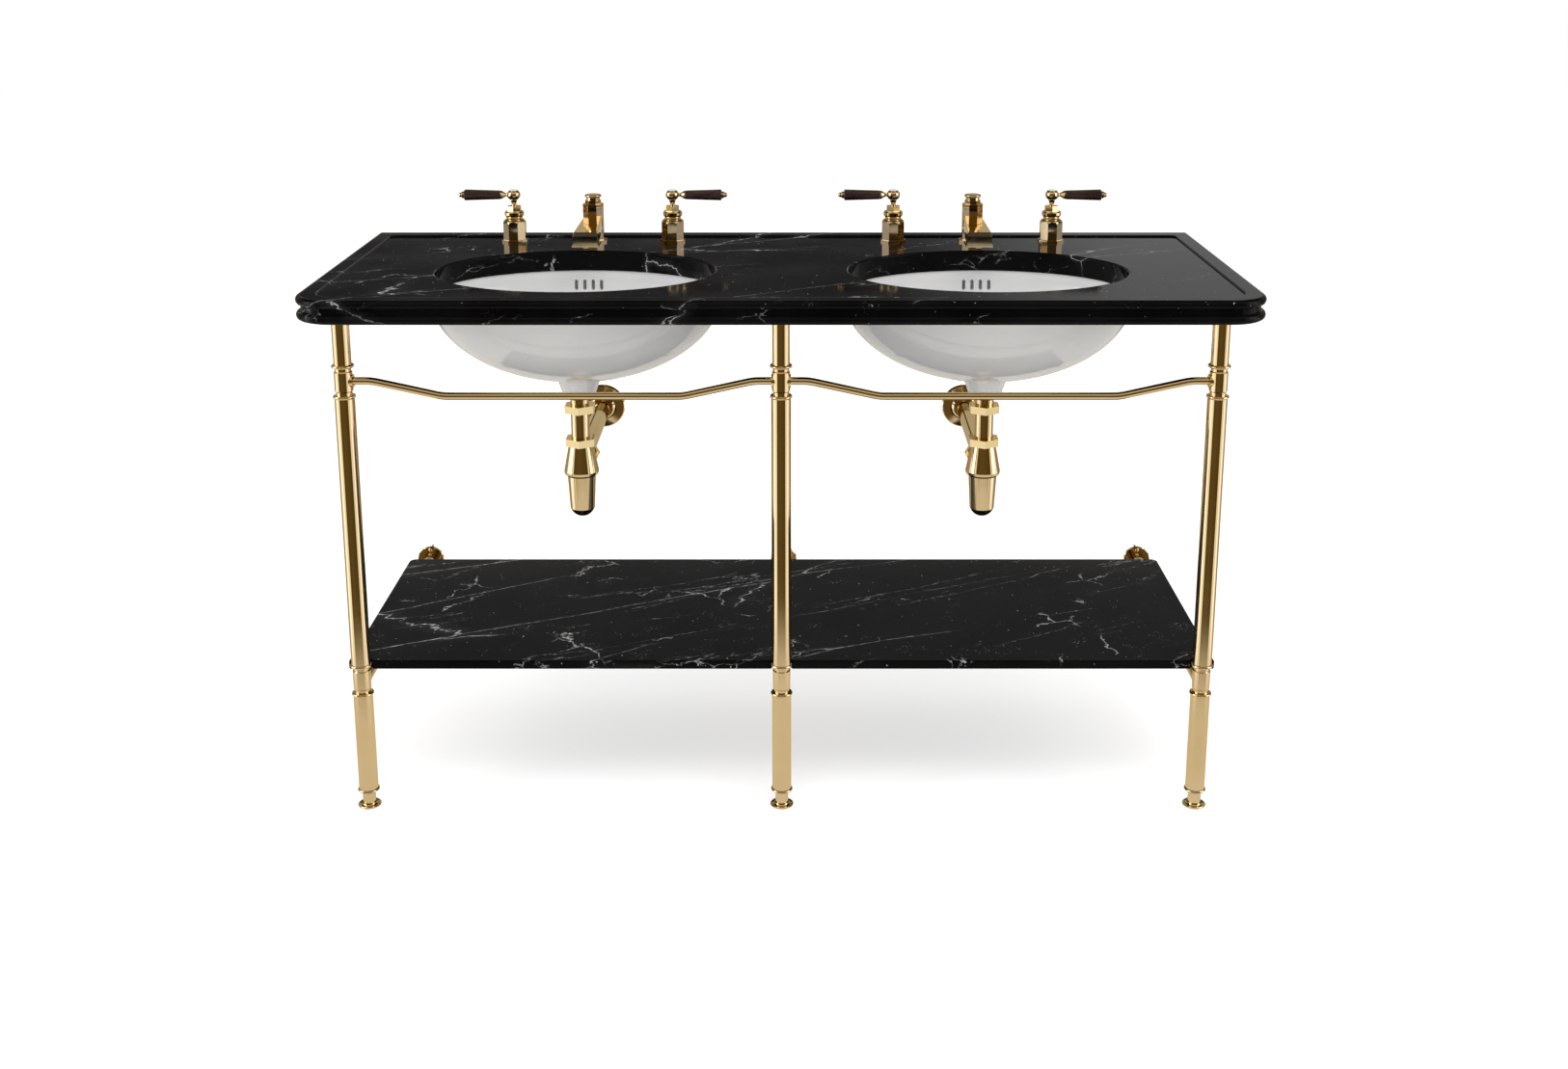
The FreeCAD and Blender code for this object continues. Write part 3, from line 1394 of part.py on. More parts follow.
def make_handle(name):
    """A lever's brass: the flared stem and hub, and the arm with its ferrule, rod and finial."""
    x, lever = TAPS[name], LEVER_RISE
    spindle, hub, nut_top = dim("spindle_radius"), dim("hub_radius"), NUT_TOP
    low = nut_top - NUT_TOP / 3 + 0.5
    half, chord = hub * 0.6, hub * BUTTON_SHARE
    flare = lever - half - 1
    bulge = hub - chord
    sphere = (half * half + bulge * bulge) / (bulge * 2)
    seat = BUTTON_RADIUS + 0.05
    outline = [(0, low), (spindle, low), (spindle, nut_top + 3), (spindle * 1.15, nut_top + 5)]
    outline += [
        (spindle * 1.6, flare - 1), (spindle * 1.6, flare), (chord, lever - half, hub - sphere, lever)
    ]
    outline += [(chord, lever + half), (seat + 0.5, lever + half + 1.2), (seat, lever + half + 1.2)]
    outline += [(seat, lever + half - 1), (0, lever + half - 1)]
    stem = place(turned(f"handle_stem_{name}", outline), x, TAP_Y, FIELD_Z)
    start, end = dim("grip_start"), dim("grip_start") + dim("grip_length")
    ferrule = dim("grip_start_width") / 2
    rod, tip = dim("grip_rod_radius"), dim("finial_length")
    finial = dim("grip_end_width") / 3
    bead = finial * 0.7
    cap = (bead * bead + tip * tip * 0.25) / tip
    arm = [(0, hub / 3), (rod * 1.2, hub / 3), (rod * 1.2, hub * 0.95), (rod * 0.9, hub * 1.1)]
    arm += [
        (rod * 1.6, start * 0.7), (ferrule * 0.98, start * 0.9), (ferrule * 0.98, start),
        (rod, start), (rod, end),
    ]
    arm += [
        (finial, end), (finial, end + tip * 0.35), (bead, end + tip * 0.5, 0, end + tip - cap), (0, end + tip)
    ]
    turn = Z_TO_MINUS_X if points_left(name) else Z_TO_X
    lever_arm = place(turned(f"handle_arm_{name}", arm), x, TAP_Y, FIELD_Z + lever, turn)
    return fuse(f"handle_{name}", [stem, lever_arm])


def make_grip(name):
    """The tapered eight-sided hardwood grip, bored for the rod that holds it."""
    x, z = TAPS[name], FIELD_Z + LEVER_RISE
    start, length = dim("grip_start"), dim("grip_length")
    thin, thick = dim("grip_start_width"), dim("grip_end_width")
    chamfer = thin / 12
    sign = -1 if points_left(name) else 1
    turn = (Z_TO_MINUS_X if points_left(name) else Z_TO_X).multiply(OCTAGON_TURN)
    sections = []
    profile = [(start, thin - chamfer), (start + chamfer, thin)]
    profile += [(start + length - chamfer, thick), (start + length, thick - chamfer * 2)]
    for number, (along, width) in enumerate(profile):
        ring = doc.addObject("Part::RegularPolygon", f"grip_section_{name}_{number}")
        ring.Polygon = 8
        bind(ring, "Circumradius", width * OCTAGON)
        sections.append(place(ring, x + along * sign, TAP_Y, z, turn))
    shape = doc.addObject("Part::Loft", f"grip_shape_{name}")
    shape.Sections = sections
    shape.Solid = True
    shape.Ruled = True
    hole = cylinder(
        f"grip_hole_{name}", dim("grip_rod_radius") + GAP / 2, start + length + 2, x, TAP_Y, z,
        Z_TO_MINUS_X if points_left(name) else Z_TO_X,
    )
    return cut(f"grip_{name}", shape, [hole])


def make_button(name):
    """The plain porcelain button let into the top of the hub."""
    radius = BUTTON_RADIUS
    low = LEVER_RISE + dim("hub_radius") * 0.6 - 1
    rise, edge = radius * 0.37, radius * 0.3
    sphere = (radius * radius + rise * rise) / (rise * 2)
    outline = [
        (0, low), (radius, low), (radius, low + edge, 0, low + edge + rise - sphere), (0, low + edge + rise)
    ]
    return place(turned(f"button_{name}", outline), TAPS[name], TAP_Y, FIELD_Z)


def spout_section(label, x, y, half, top, bottom, top_chamfer, bottom_chamfer):
    """An eight-cornered upright section of the spout, seen from the front."""
    section = doc.addObject("Sketcher::SketchObject", label)
    outline = [(half, bottom + bottom_chamfer), (half, top - top_chamfer), (half - top_chamfer, top)]
    outline += [(top_chamfer - half, top), (-half, top - top_chamfer), (-half, bottom + bottom_chamfer)]
    outline += [(bottom_chamfer - half, bottom), (half - bottom_chamfer, bottom)]
    draw(section, outline)
    return place(section, x, y, FIELD_Z, Z_TO_MINUS_Y)


def make_spout(side):
    """The spout: eight-sided pillar, broad faceted beak, its outlet, and the shank below."""
    x, base = BASIN_X[side], dim("tap_base_height")
    foot = prism(
        f"spout_base_{side}", 8, dim("spout_base_width") * OCTAGON, base, x, TAP_Y, FIELD_Z, OCTAGON_TURN
    )
    height, width = dim("pillar_height"), dim("pillar_width")
    band, groove = dim("pillar_band"), dim("pillar_groove")
    pillar = []
    for label, across, low, high in (
        ("shaft", width, size(0), height - band - groove),
        ("neck", width - groove * 2, size(0), height),
        ("band", width + groove / 2, height - band, height),
    ):
        label = f"pillar_{label}_{side}"
        pillar.append(prism(label, 8, across * OCTAGON, high - low, x, TAP_Y, FIELD_Z + low, OCTAGON_TURN))
    nose_y = TAP_Y - dim("spout_reach")
    side_chamfer, chamfer = dim("spout_side_chamfer"), dim("nose_chamfer")
    top, bottom = dim("nose_top"), dim("nose_bottom")
    half, root_half = dim("nose_width") / 2, dim("spout_root_width") / 2
    sections = [
        spout_section(
            f"spout_root_{side}", x, TAP_Y, root_half, dim("spout_root_top"), dim("spout_root_bottom"),
            side_chamfer, chamfer / 3,
        ),
        spout_section(
            f"spout_brow_{side}", x, nose_y + chamfer, half, top, bottom, side_chamfer, chamfer / 3
        ),
        spout_section(
            f"spout_face_{side}", x, nose_y, half - chamfer / 6, top - chamfer, bottom + chamfer / 6,
            side_chamfer / 2, chamfer / 3,
        ),
    ]
    beak = doc.addObject("Part::Loft", f"beak_{side}")
    beak.Sections = sections
    beak.Solid = True
    beak.Ruled = True
    outlet_y = nose_y + dim("aerator_setback")
    drop = dim("aerator_drop")
    collar = cylinder(
        f"aerator_{side}", dim("aerator_radius"), drop + chamfer, x, outlet_y, FIELD_Z + bottom - drop
    )
    shank = cylinder(
        f"spout_shank_{side}", dim("shank_radius"), dim("shank_length"),
        x, TAP_Y, FIELD_Z - dim("shank_length"),
    )
    proud = dim("nose_lip_proud")
    lip = block(
        f"nose_lip_{side}", (half + proud) * 2, dim("nose_width"), dim("nose_lip"),
        x - half - proud, nose_y - proud, FIELD_Z + bottom,
    )
    solid = fuse(f"spout_solid_{side}", [foot, beak, lip, collar, shank] + pillar)
    water = cylinder(
        f"outlet_{side}", dim("outlet_bore_radius"), dim("outlet_bore_depth") + drop, x, outlet_y,
        FIELD_Z + bottom - drop,
    )
    rod = cylinder(
        f"rod_bore_{side}",
        dim("lift_rod_radius") + RUNNING_FIT,
        dim("shank_length") + dim("pillar_height") + 2,
        x,
        TAP_Y,
        FIELD_Z - dim("shank_length") - 1,
    )
    return cut(f"spout_{side}", solid, [water, rod])


def make_tap_nut(name):
    """The ring nut that draws a valve or a spout down on the marble from below."""
    bore, height = dim("shank_radius") + GAP, dim("tap_nut_height")
    return make_ring_nut(f"tap_nut_{name}", bore, dim("tap_nut_radius"), height, TAPS[name], TAP_Y, UNDER_Z)


for name in VALVES:
    node(make_valve(name))
    node(make_handle(name))
    node(make_grip(name))
    node(make_button(name))
for side in PAIR:
    node(make_spout(side))
node(group("pipe_nuts", TRAP_NUTS + [make_tap_nut(name) for name in TAPS]))


# ---------------------------------------------------------------- checks and files
doc.recompute()
for item in doc.Objects:
    if "Invalid" in item.State or "Error" in item.State:
        raise ValueError(f"{item.Name} could not be made: {item.State}")
for item in NODES:
    if item.Shape.isNull() or not item.Shape.isValid() or not item.Shape.Solids:
        raise ValueError(f"{item.Label} has no valid solid")
print(f"lift {dim('lift_travel').value:.1f} mm, plug {PLUG_RISE.value:.2f} mm, tilt {PIVOT_TILT:.2f} degrees")
print(f"{len(NODES)} pieces")

os.makedirs("parts", exist_ok=True)
for item in NODES:
    item.Shape.exportStep(f"parts/{item.Label}.step")
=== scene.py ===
# %% [markdown]
# # A console sink with brass legs
# The object is a long marble top with two white bowls, on three brass legs, with a
# second marble slab near the floor. Its shapes come from the packed frame, which is
# loaded first, so this lesson is mostly about stone, brass, glaze and wood, and
# about the light that polished metal needs.

import json
import math

import bmesh
import bpy
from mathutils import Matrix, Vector

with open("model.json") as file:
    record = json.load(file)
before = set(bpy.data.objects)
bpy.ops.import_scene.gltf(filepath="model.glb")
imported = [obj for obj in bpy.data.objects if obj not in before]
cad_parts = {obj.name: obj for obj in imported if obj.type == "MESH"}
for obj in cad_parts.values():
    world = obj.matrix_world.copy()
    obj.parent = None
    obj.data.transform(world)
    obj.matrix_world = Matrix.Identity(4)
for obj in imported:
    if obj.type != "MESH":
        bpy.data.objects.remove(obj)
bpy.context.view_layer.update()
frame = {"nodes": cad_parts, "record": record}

# %% [markdown]
# ## The camera
# The picture was taken from straight in front, a little above the top, with the
# camera kept level so that the legs stay upright. A level camera that frames
# something below it needs a shifted lens. Here the lens is shifted part of the way
# and the camera tips down for the rest, so that the same lens also frames the sink
# from its sides.

# %% Place the camera
CAMERA_PLACE = Vector((0.0216, -2.8767, 1.4367))
CAMERA_TILT = 13.22
CAMERA_LENS = 39.15
SENSOR_WIDTH = 36.0
LENS_SHIFT = (-0.0068, -0.131)

lens = bpy.data.cameras.new("photo_lens")
lens.sensor_fit = "HORIZONTAL"
lens.sensor_width = SENSOR_WIDTH
lens.lens = CAMERA_LENS
lens.shift_x, lens.shift_y = LENS_SHIFT
camera = bpy.data.objects.new("photo_camera", lens)
camera.location = CAMERA_PLACE
camera.rotation_euler = (math.radians(90 - CAMERA_TILT), 0, 0)
bpy.context.scene.collection.objects.link(camera)
bpy.context.scene.camera = camera
bpy.context.scene.view_settings.view_transform = "Standard"
print("camera is", round(-CAMERA_PLACE.y, 2), "m in front of the middle")

# %% [markdown]
# ## Writing shaders as sums
# A material is a graph of nodes, but most of what it does is arithmetic on
# patterns. Nodes could be added one by one, as in the editor, but then a sum of
# three masks takes a page. A small class wraps a socket instead, so that `1 - mask`
# or `a * b` adds the Math nodes by itself.


# %% A wrapper for sockets
class Value:
    """A number that varies over a surface: a socket that takes part in sums."""

    def __init__(self, graph, socket):
        self.graph, self.socket = graph, socket

    def maths(self, operation, *numbers):
        settings = {"operation": operation}
        node = self.graph.add("ShaderNodeMath", settings, dict(enumerate(numbers)))
        return Value(self.graph, node.outputs[0])

    def __add__(self, other):
        return self.maths("ADD", self, other)

    def __sub__(self, other):
        return self.maths("SUBTRACT", self, other)

    def __rsub__(self, other):
        return self.maths("SUBTRACT", other, self)

    def __mul__(self, other):
        return self.maths("MULTIPLY", self, other)

    __radd__ = __add__
    __rmul__ = __mul__

    def most(self, other):
        return self.maths("MAXIMUM", self, other)

    def least(self, other):
        return self.maths("MINIMUM", self, other)

    def step(self, low, high):
        """0 at low and 1 at high, with a soft change between; low may be the larger."""
        node = self.graph.add(
            "ShaderNodeMapRange",
            {"interpolation_type": "SMOOTHSTEP"},
            {"Value": self, "From Min": low, "From Max": high},
        )
        return Value(self.graph, node.outputs["Result"])


print("a value can", ", ".join(name for name in vars(Value) if name[0] != "_"))

# %% [markdown]
# Every other node comes from one method of the graph, which sets the node's settings
# first and then fills its sockets. The order matters, because a setting can change
# which sockets a node has. A socket takes a value, another socket or a number.


# %% A graph of nodes
class Graph:
    """The nodes of one material, or of the world, with short ways to add to them."""

    def __init__(self, owner):
        owner.use_nodes = True
        self.tree = owner.node_tree
        self.tree.nodes.clear()

    def add(self, kind, settings=None, sockets=None):
        """A node of a kind, with its settings made first and then its sockets."""
        node = self.tree.nodes.new(kind)
        for name, setting in (settings or {}).items():
            if name == "stops":
                self.set_stops(node.color_ramp, setting)
            else:
                setattr(node, name, setting)
        for name, value in (sockets or {}).items():
            self.feed(node.inputs[name], value)
        return node

    def set_stops(self, ramp, stops):
        """Fills a colour ramp from (place, colour) pairs."""
        while len(ramp.elements) < len(stops):
            ramp.elements.new(1.0)
        for element, (spot, colour) in zip(ramp.elements, stops):
            element.position = spot
            element.color = (*colour, 1.0)

    def feed(self, socket, value):
        """Links a socket to a value, or sets it to a number or a colour."""
        if isinstance(value, Value):
            self.tree.links.new(value.socket, socket)
        elif isinstance(value, bpy.types.NodeSocket):
            self.tree.links.new(value, socket)
        elif hasattr(value, "__len__") and len(value) == 3 and socket.type == "RGBA":
            socket.default_value = (*value, 1.0)
        else:
            socket.default_value = value

    def blend(self, mask, first, second):
        """A colour that goes from the first to the second as the mask goes to 1."""
        node = self.add("ShaderNodeMix", {"data_type": "RGBA"})
        factor, colour_a, colour_b = (node.inputs[place] for place in (0, 6, 7))
        for socket, value in ((factor, mask), (colour_a, first), (colour_b, second)):
            self.feed(socket, value)
        return node.outputs[2]


print("a graph can", ", ".join(name for name in vars(Graph) if name[0] != "_"))

# %% [markdown]
# Patterns read Object coordinates, in metres, so that a vein that is 1 mm wide is
# written as 1 mm, and a pattern stays on its piece when a lever turns. Coordinates
# that are turned and stretched draw a pattern out, and coordinates that are pushed
# about by noise make straight things crooked.


# %% Patterns on a surface
class PatternGraph(Graph):
    """A graph with the patterns that stone, metal and wood are made of."""

    def place(self, turn=0.0, stretch=(1.0, 1.0, 1.0), start=(0.0, 0.0, 0.0)):
        """Object coordinates, turned about Z by degrees and then stretched."""
        where = self.add("ShaderNodeTexCoord").outputs["Object"]
        turned = self.add(
            "ShaderNodeVectorRotate",
            {"rotation_type": "Z_AXIS"},
            {"Vector": where, "Angle": math.radians(-turn)},
        )
        moved = self.add(
            "ShaderNodeVectorMath",
            {"operation": "MULTIPLY_ADD"},
            {0: turned.outputs[0], 1: stretch, 2: start},
        )
        return moved.outputs[0]

    def noise(self, where, scale, detail=3.0, roughness=0.5, distortion=0.0):
        """Soft clouds from 0 to 1, with scale of them to a metre."""
        sockets = {
            "Vector": where,
            "Scale": scale,
            "Detail": detail,
            "Roughness": roughness,
            "Distortion": distortion,
        }
        return Value(self, self.add("ShaderNodeTexNoise", {}, sockets).outputs["Fac"])

    def shaken(self, where, scale, amount, detail=4.0):
        """Coordinates pushed about by noise, which makes straight things crooked."""
        sockets = {"Vector": where, "Scale": scale, "Detail": detail, "Roughness": 0.65}
        cloud = self.add("ShaderNodeTexNoise", {}, sockets)
        push = self.add(
            "ShaderNodeVectorMath",
            {"operation": "MULTIPLY_ADD"},
            {0: cloud.outputs["Color"], 1: (amount,) * 3, 2: where},
        )
        return push.outputs[0]

    def cracks(self, where, scale):
        """The distance to the nearest wall between cells, with scale cells to a metre."""
        settings = {"feature": "DISTANCE_TO_EDGE"}
        node = self.add("ShaderNodeTexVoronoi", settings, {"Vector": where, "Scale": scale})
        return Value(self, node.outputs["Distance"])


print("a pattern graph adds", ", ".join(name for name in vars(PatternGraph) if name[0] != "_"))

# %% [markdown]
# A finish ends in one Principled surface. Relief that is too fine to model, such as
# polishing marks, tips the normal with a bump whose depth is given in metres.


# %% A finish on a graph
class FinishGraph(PatternGraph):
    """A graph that ends in the surface of a finish."""

    def bump(self, height, depth):
        """A normal that is tipped by a height, whose full range is depth metres."""
        node = self.add("ShaderNodeBump", {}, {"Height": height, "Distance": depth})
        return node.outputs["Normal"]

    def finish(self, **sockets):
        """The surface shader, with its sockets named with underscores."""
        named = {name.replace("_", " "): value for name, value in sockets.items()}
        surface = self.add("ShaderNodeBsdfPrincipled", {}, named)
        self.add("ShaderNodeOutputMaterial", {}, {"Surface": surface.outputs[0]})


def new_material(name):
    material = bpy.data.materials.new(name)
    return material, FinishGraph(material)


def tell(*materials):
    for material in materials:
        print(material.name, "is made of", len(material.node_tree.nodes), "nodes")


print("a finish adds", ", ".join(name for name in vars(FinishGraph) if name[0] != "_"))

# %% [markdown]
# ## Black marble
# The stone is close to black. Long white veins run through it at a slant, thin and
# nearly straight, with finer ones beside them, and short crooked ones cross between.
# Painted veins would need a large picture, and they would stop at the edge. These
# are the walls between cells in space, so they run on over the edge and down the
# cut-outs. For the long ones the cells are drawn out along the slant, and for the
# crooked ones the coordinates are shaken first. Patches let only some of each
# through, because veins that run everywhere look like a net.

# %% Choose the stone's colours and veins
STONE_DARK = (0.0022, 0.0022, 0.0023)
STONE_PALE = (0.0048, 0.0048, 0.0050)
VEIN_WHITE = (0.60, 0.60, 0.59)
VEIN_SLANT = 26.0
# a space is coordinates with a turn in degrees and a stretch
SPACES = {
    "plain": (0.0, (1.0, 1.0, 1.0)),
    "drawn_out": (VEIN_SLANT, (0.30, 1.9, 1.9)),
    "along": (VEIN_SLANT, (0.55, 3.0, 3.0)),
}
# cells and patches have a space and a number to a metre, a shake has a number to a
# metre, an amount and a detail, and an edge says where white begins and is full
VEINS = {
    "long": {
        "cells": ("drawn_out", 3.4),
        "shake": (2.2, 0.16, 6.0),
        "edge": (0.0048, 0.0012),
        "patches": ("along", 2.2),
        "patch_edge": (0.52, 0.62),
    },
    "fine": {
        "cells": ("drawn_out", 7.5),
        "shake": (7.0, 0.12, 6.0),
        "edge": (0.0080, 0.0020),
        "patches": ("along", 5.0),
        "patch_edge": (0.58, 0.70),
    },
    "crooked": {
        "cells": ("plain", 8.5),
        "shake": (24.0, 0.055, 8.0),
        "edge": (0.013, 0.003),
        "patches": ("plain", 9.0),
        "patch_edge": (0.64, 0.72),
    },
}
FINE_VEIN_SHARE = 0.6
HALO_WIDTH, HALO_SHARE = 0.05, 0.02
print("the stone has", ", ".join(VEINS), "veins")


# %% Draw one kind of vein
def draw_veins(graph, spaces, kind, plenty):
    """The veins of one kind, with the distance to them and the patches they show in."""
    vein = VEINS[kind]
    space, cells = vein["cells"]
    wall = graph.cracks(graph.shaken(spaces[space], *vein["shake"]), cells)
    space, patches = vein["patches"]
    low, high = vein["patch_edge"]
    here = graph.noise(spaces[space], patches, 2.0).step(low - plenty, high - plenty)
    return wall.step(*vein["edge"]) * here, wall, here


print("long veins slant by", VEIN_SLANT, "degrees")

# %% [markdown]
# Fine specks lie in drifts between the veins, and lone ones anywhere. The strength of
# everything white is broken up, as veins in real stone fade and return. The gloss is
# kept low for a stone, since the room that the brass needs is bright, and the mirror
# in this marble has to stay dark.

# %% Mix the black marble
DRIFTS = (19.0, (0.62, 0.76))
FINE_SPECKS = (330.0, (0.62, 0.70), 0.7)
LONE_SPECKS = (150.0, (0.735, 0.76), 0.8)
BREAKS = (75.0, (0.36, 0.60), 0.85)
STONE_CLOUDS = (6.0, (0.3, 0.7))
STONE_ROUGHNESS, CLOUD_ROUGHNESS, VEIN_ROUGHNESS = 0.06, 0.03, 0.15
STONE_GLOSS = 0.06
STONE_WAVES, STONE_WAVE_DEPTH = 90.0, 0.000006


def scatter_specks(graph, where, specks):
    number, edge, share = specks
    return graph.noise(where, number, 2.0, 0.6).step(*edge), share


def make_black_marble(name, start, plenty, whiteness):
    """Black stone with long slanting veins, short crooked ones, and specks.

    The patterns begin at start. A larger plenty lets more of the veins through.
    """
    material, graph = new_material(name)
    spaces = {space: graph.place(*shape, start) for space, shape in SPACES.items()}
    plain = spaces["plain"]
    long_veins, long_wall, long_here = draw_veins(graph, spaces, "long", plenty)
    fine_veins = draw_veins(graph, spaces, "fine", plenty)[0] * FINE_VEIN_SHARE
    crooked_veins = draw_veins(graph, spaces, "crooked", plenty)[0]
    halo = long_wall.step(HALO_WIDTH, 0.0) * long_here * HALO_SHARE

    drift_number, (low, high) = DRIFTS
    drifts = graph.noise(plain, drift_number, 3.0).step(low - plenty, high - plenty)
    fine_specks, fine_share = scatter_specks(graph, plain, FINE_SPECKS)
    lone_specks, lone_share = scatter_specks(graph, plain, LONE_SPECKS)
    veins = long_veins.most(fine_veins).most(crooked_veins)
    marks = veins.most(fine_specks * drifts * fine_share).most(lone_specks * lone_share)

    break_number, break_edge, break_share = BREAKS
    broken = graph.noise(plain, break_number, 4.0, 0.6).step(*break_edge)
    white = marks * (broken * break_share + (1 - break_share)) * whiteness + halo
    cloud_number, cloud_edge = STONE_CLOUDS
    clouds = graph.noise(plain, cloud_number, 5.0, 0.6).step(*cloud_edge)
    stone = graph.blend(clouds, STONE_DARK, STONE_PALE)
    graph.finish(
        Base_Color=graph.blend(white.least(1.0), stone, VEIN_WHITE),
        Roughness=STONE_ROUGHNESS + clouds * CLOUD_ROUGHNESS + white * VEIN_ROUGHNESS,
        Specular_IOR_Level=STONE_GLOSS,
        Normal=graph.bump(graph.noise(plain, STONE_WAVES, 2.0), STONE_WAVE_DEPTH),
    )
    return material


print("the stone is mixed with a gloss of", STONE_GLOSS)

# %% [markdown]
# The top and the shelf come from different blocks, so each reads the patterns from a
# place of its own. The top has fewer veins, and they are greyer.

# %% Cut the two blocks
top_marble = make_black_marble("black_marble", (5.0, 2.0, 0.3), 0.0, 0.75)
shelf_marble = make_black_marble("shelf_marble", (3.1, 0.4, 1.7), 0.06, 1.0)
tell(top_marble, shelf_marble)

# %% [markdown]
# ## Polished brass
# Legs, rails, traps and taps are polished brass. Brass has no colour of its own
# beside what it mirrors, so its base colour tints every reflection. Hand polishing
# leaves faint, fine marks and a slow wave in the surface, and fingers leave places
# that are a little less bright. These go into roughness and bump, by very little,
# because a rough metal would blur the stripes that make a tube look round.

# %% Mix the polished brass
BRASS_PALE = (0.84, 0.67, 0.40)
BRASS_WARM = (0.80, 0.62, 0.35)
BRASS_EDGE = (0.95, 0.85, 0.65, 1.0)
MARK_STRETCH, MARK_NUMBER = (1.0, 1.0, 0.06), 900.0
SMEAR_NUMBER, SMEAR_EDGE = 17.0, (0.42, 0.75)
WARM_NUMBER, WARM_EDGE = 9.0, (0.3, 0.7)
WAVE_NUMBER, WAVE_SHARE, MARK_SHARE, BRASS_DEPTH = 26.0, 0.8, 0.04, 0.00003
BRASS_ROUGHNESS, SMEAR_ROUGHNESS, MARK_ROUGHNESS = 0.045, 0.05, 0.03


def make_polished_brass():
    """Lacquered yellow brass: bright, with faint polishing marks and soft smears."""
    material, graph = new_material("polished_brass")
    plain = graph.place()
    marks = graph.noise(graph.place(0.0, MARK_STRETCH), MARK_NUMBER, 2.0, 0.6)
    smears = graph.noise(plain, SMEAR_NUMBER, 4.0, 0.6).step(*SMEAR_EDGE)
    warmth = graph.noise(plain, WARM_NUMBER, 3.0).step(*WARM_EDGE)
    wave = graph.noise(plain, WAVE_NUMBER, 1.0)
    graph.finish(
        Base_Color=graph.blend(warmth, BRASS_PALE, BRASS_WARM),
        Metallic=1.0,
        Roughness=BRASS_ROUGHNESS + smears * SMEAR_ROUGHNESS + marks * MARK_ROUGHNESS,
        Specular_Tint=BRASS_EDGE,
        Normal=graph.bump(wave * WAVE_SHARE + marks * MARK_SHARE, BRASS_DEPTH),
    )
    return material


brass = make_polished_brass()
tell(brass)

# %% [markdown]
# ## Glaze and porcelain
# The bowls are fired clay under a thick white glaze. A plain white would look like
# plastic. The glaze pools a little, so the surface waves, and it is very slightly
# greyer where it lies thin. A coat over the colour gives the glassy skin. The lever
# buttons are the same stuff in a warmer white.

# %% Mix the glazes
POOL_NUMBER, POOL_EDGE = 7.0, (0.3, 0.7)
PIN_NUMBER, PIN_EDGE = 420.0, (0.76, 0.80)
GLAZE_ROUGHNESS, POOL_ROUGHNESS, PIN_ROUGHNESS = 0.08, 0.04, 0.2
GLAZE_COAT, GLAZE_COAT_ROUGHNESS = 0.6, 0.04
GLAZE_WAVES, PIN_SHARE, GLAZE_DEPTH = 12.0, 0.05, 0.00025


def make_glaze(name, thick_white, thin_white):
    """A glossy white glaze over clay, with a slow wave and a few pin holes."""
    material, graph = new_material(name)
    plain = graph.place()
    pools = graph.noise(plain, POOL_NUMBER, 3.0).step(*POOL_EDGE)
    pins = graph.noise(plain, PIN_NUMBER, 1.0).step(*PIN_EDGE)
    relief = graph.noise(plain, GLAZE_WAVES, 2.0) - pins * PIN_SHARE
    graph.finish(
        Base_Color=graph.blend(pools, thick_white, thin_white),
        Roughness=GLAZE_ROUGHNESS + pools * POOL_ROUGHNESS + pins * PIN_ROUGHNESS,
        Coat_Weight=GLAZE_COAT,
        Coat_Roughness=GLAZE_COAT_ROUGHNESS,
        Normal=graph.bump(relief, GLAZE_DEPTH),
    )
    return material


bowl_glaze = make_glaze("white_glaze", (0.80, 0.80, 0.79), (0.74, 0.745, 0.75))
button_porcelain = make_glaze("porcelain", (0.82, 0.80, 0.75), (0.76, 0.74, 0.69))
tell(bowl_glaze, button_porcelain)

# %% [markdown]
# ## Ebony
# The lever grips are eight-sided, in a wood so dark that the grain only shows as
# fine streaks along the grip, where a pore catches the light. The grips lie along
# X, so noise that is stretched that way gives the grain, without any picture of wood.

# %% Mix the ebony
EBONY_DARK = (0.016, 0.0085, 0.008)
EBONY_BROWN = (0.062, 0.030, 0.026)
GRAIN_STRETCH, GRAIN_NUMBER, GRAIN_EDGE = (0.05, 1.0, 1.0), 700.0, (0.4, 0.62)
FIGURE_STRETCH, FIGURE_NUMBER, FIGURE_EDGE = (0.16, 1.0, 1.0), 140.0, (0.35, 0.68)
PORE_STRETCH, PORE_NUMBER, PORE_EDGE = (0.035, 1.0, 1.0), 1900.0, (0.66, 0.72)
FIGURE_SHARE, GRAIN_SHARE, PORE_DARKNESS = 0.7, 0.3, 0.7
EBONY_ROUGHNESS, PORE_ROUGHNESS, GRAIN_ROUGHNESS = 0.30, 0.25, 0.08
EBONY_COAT, EBONY_COAT_ROUGHNESS = 0.25, 0.15
GRAIN_RELIEF, EBONY_DEPTH = 0.2, 0.00006


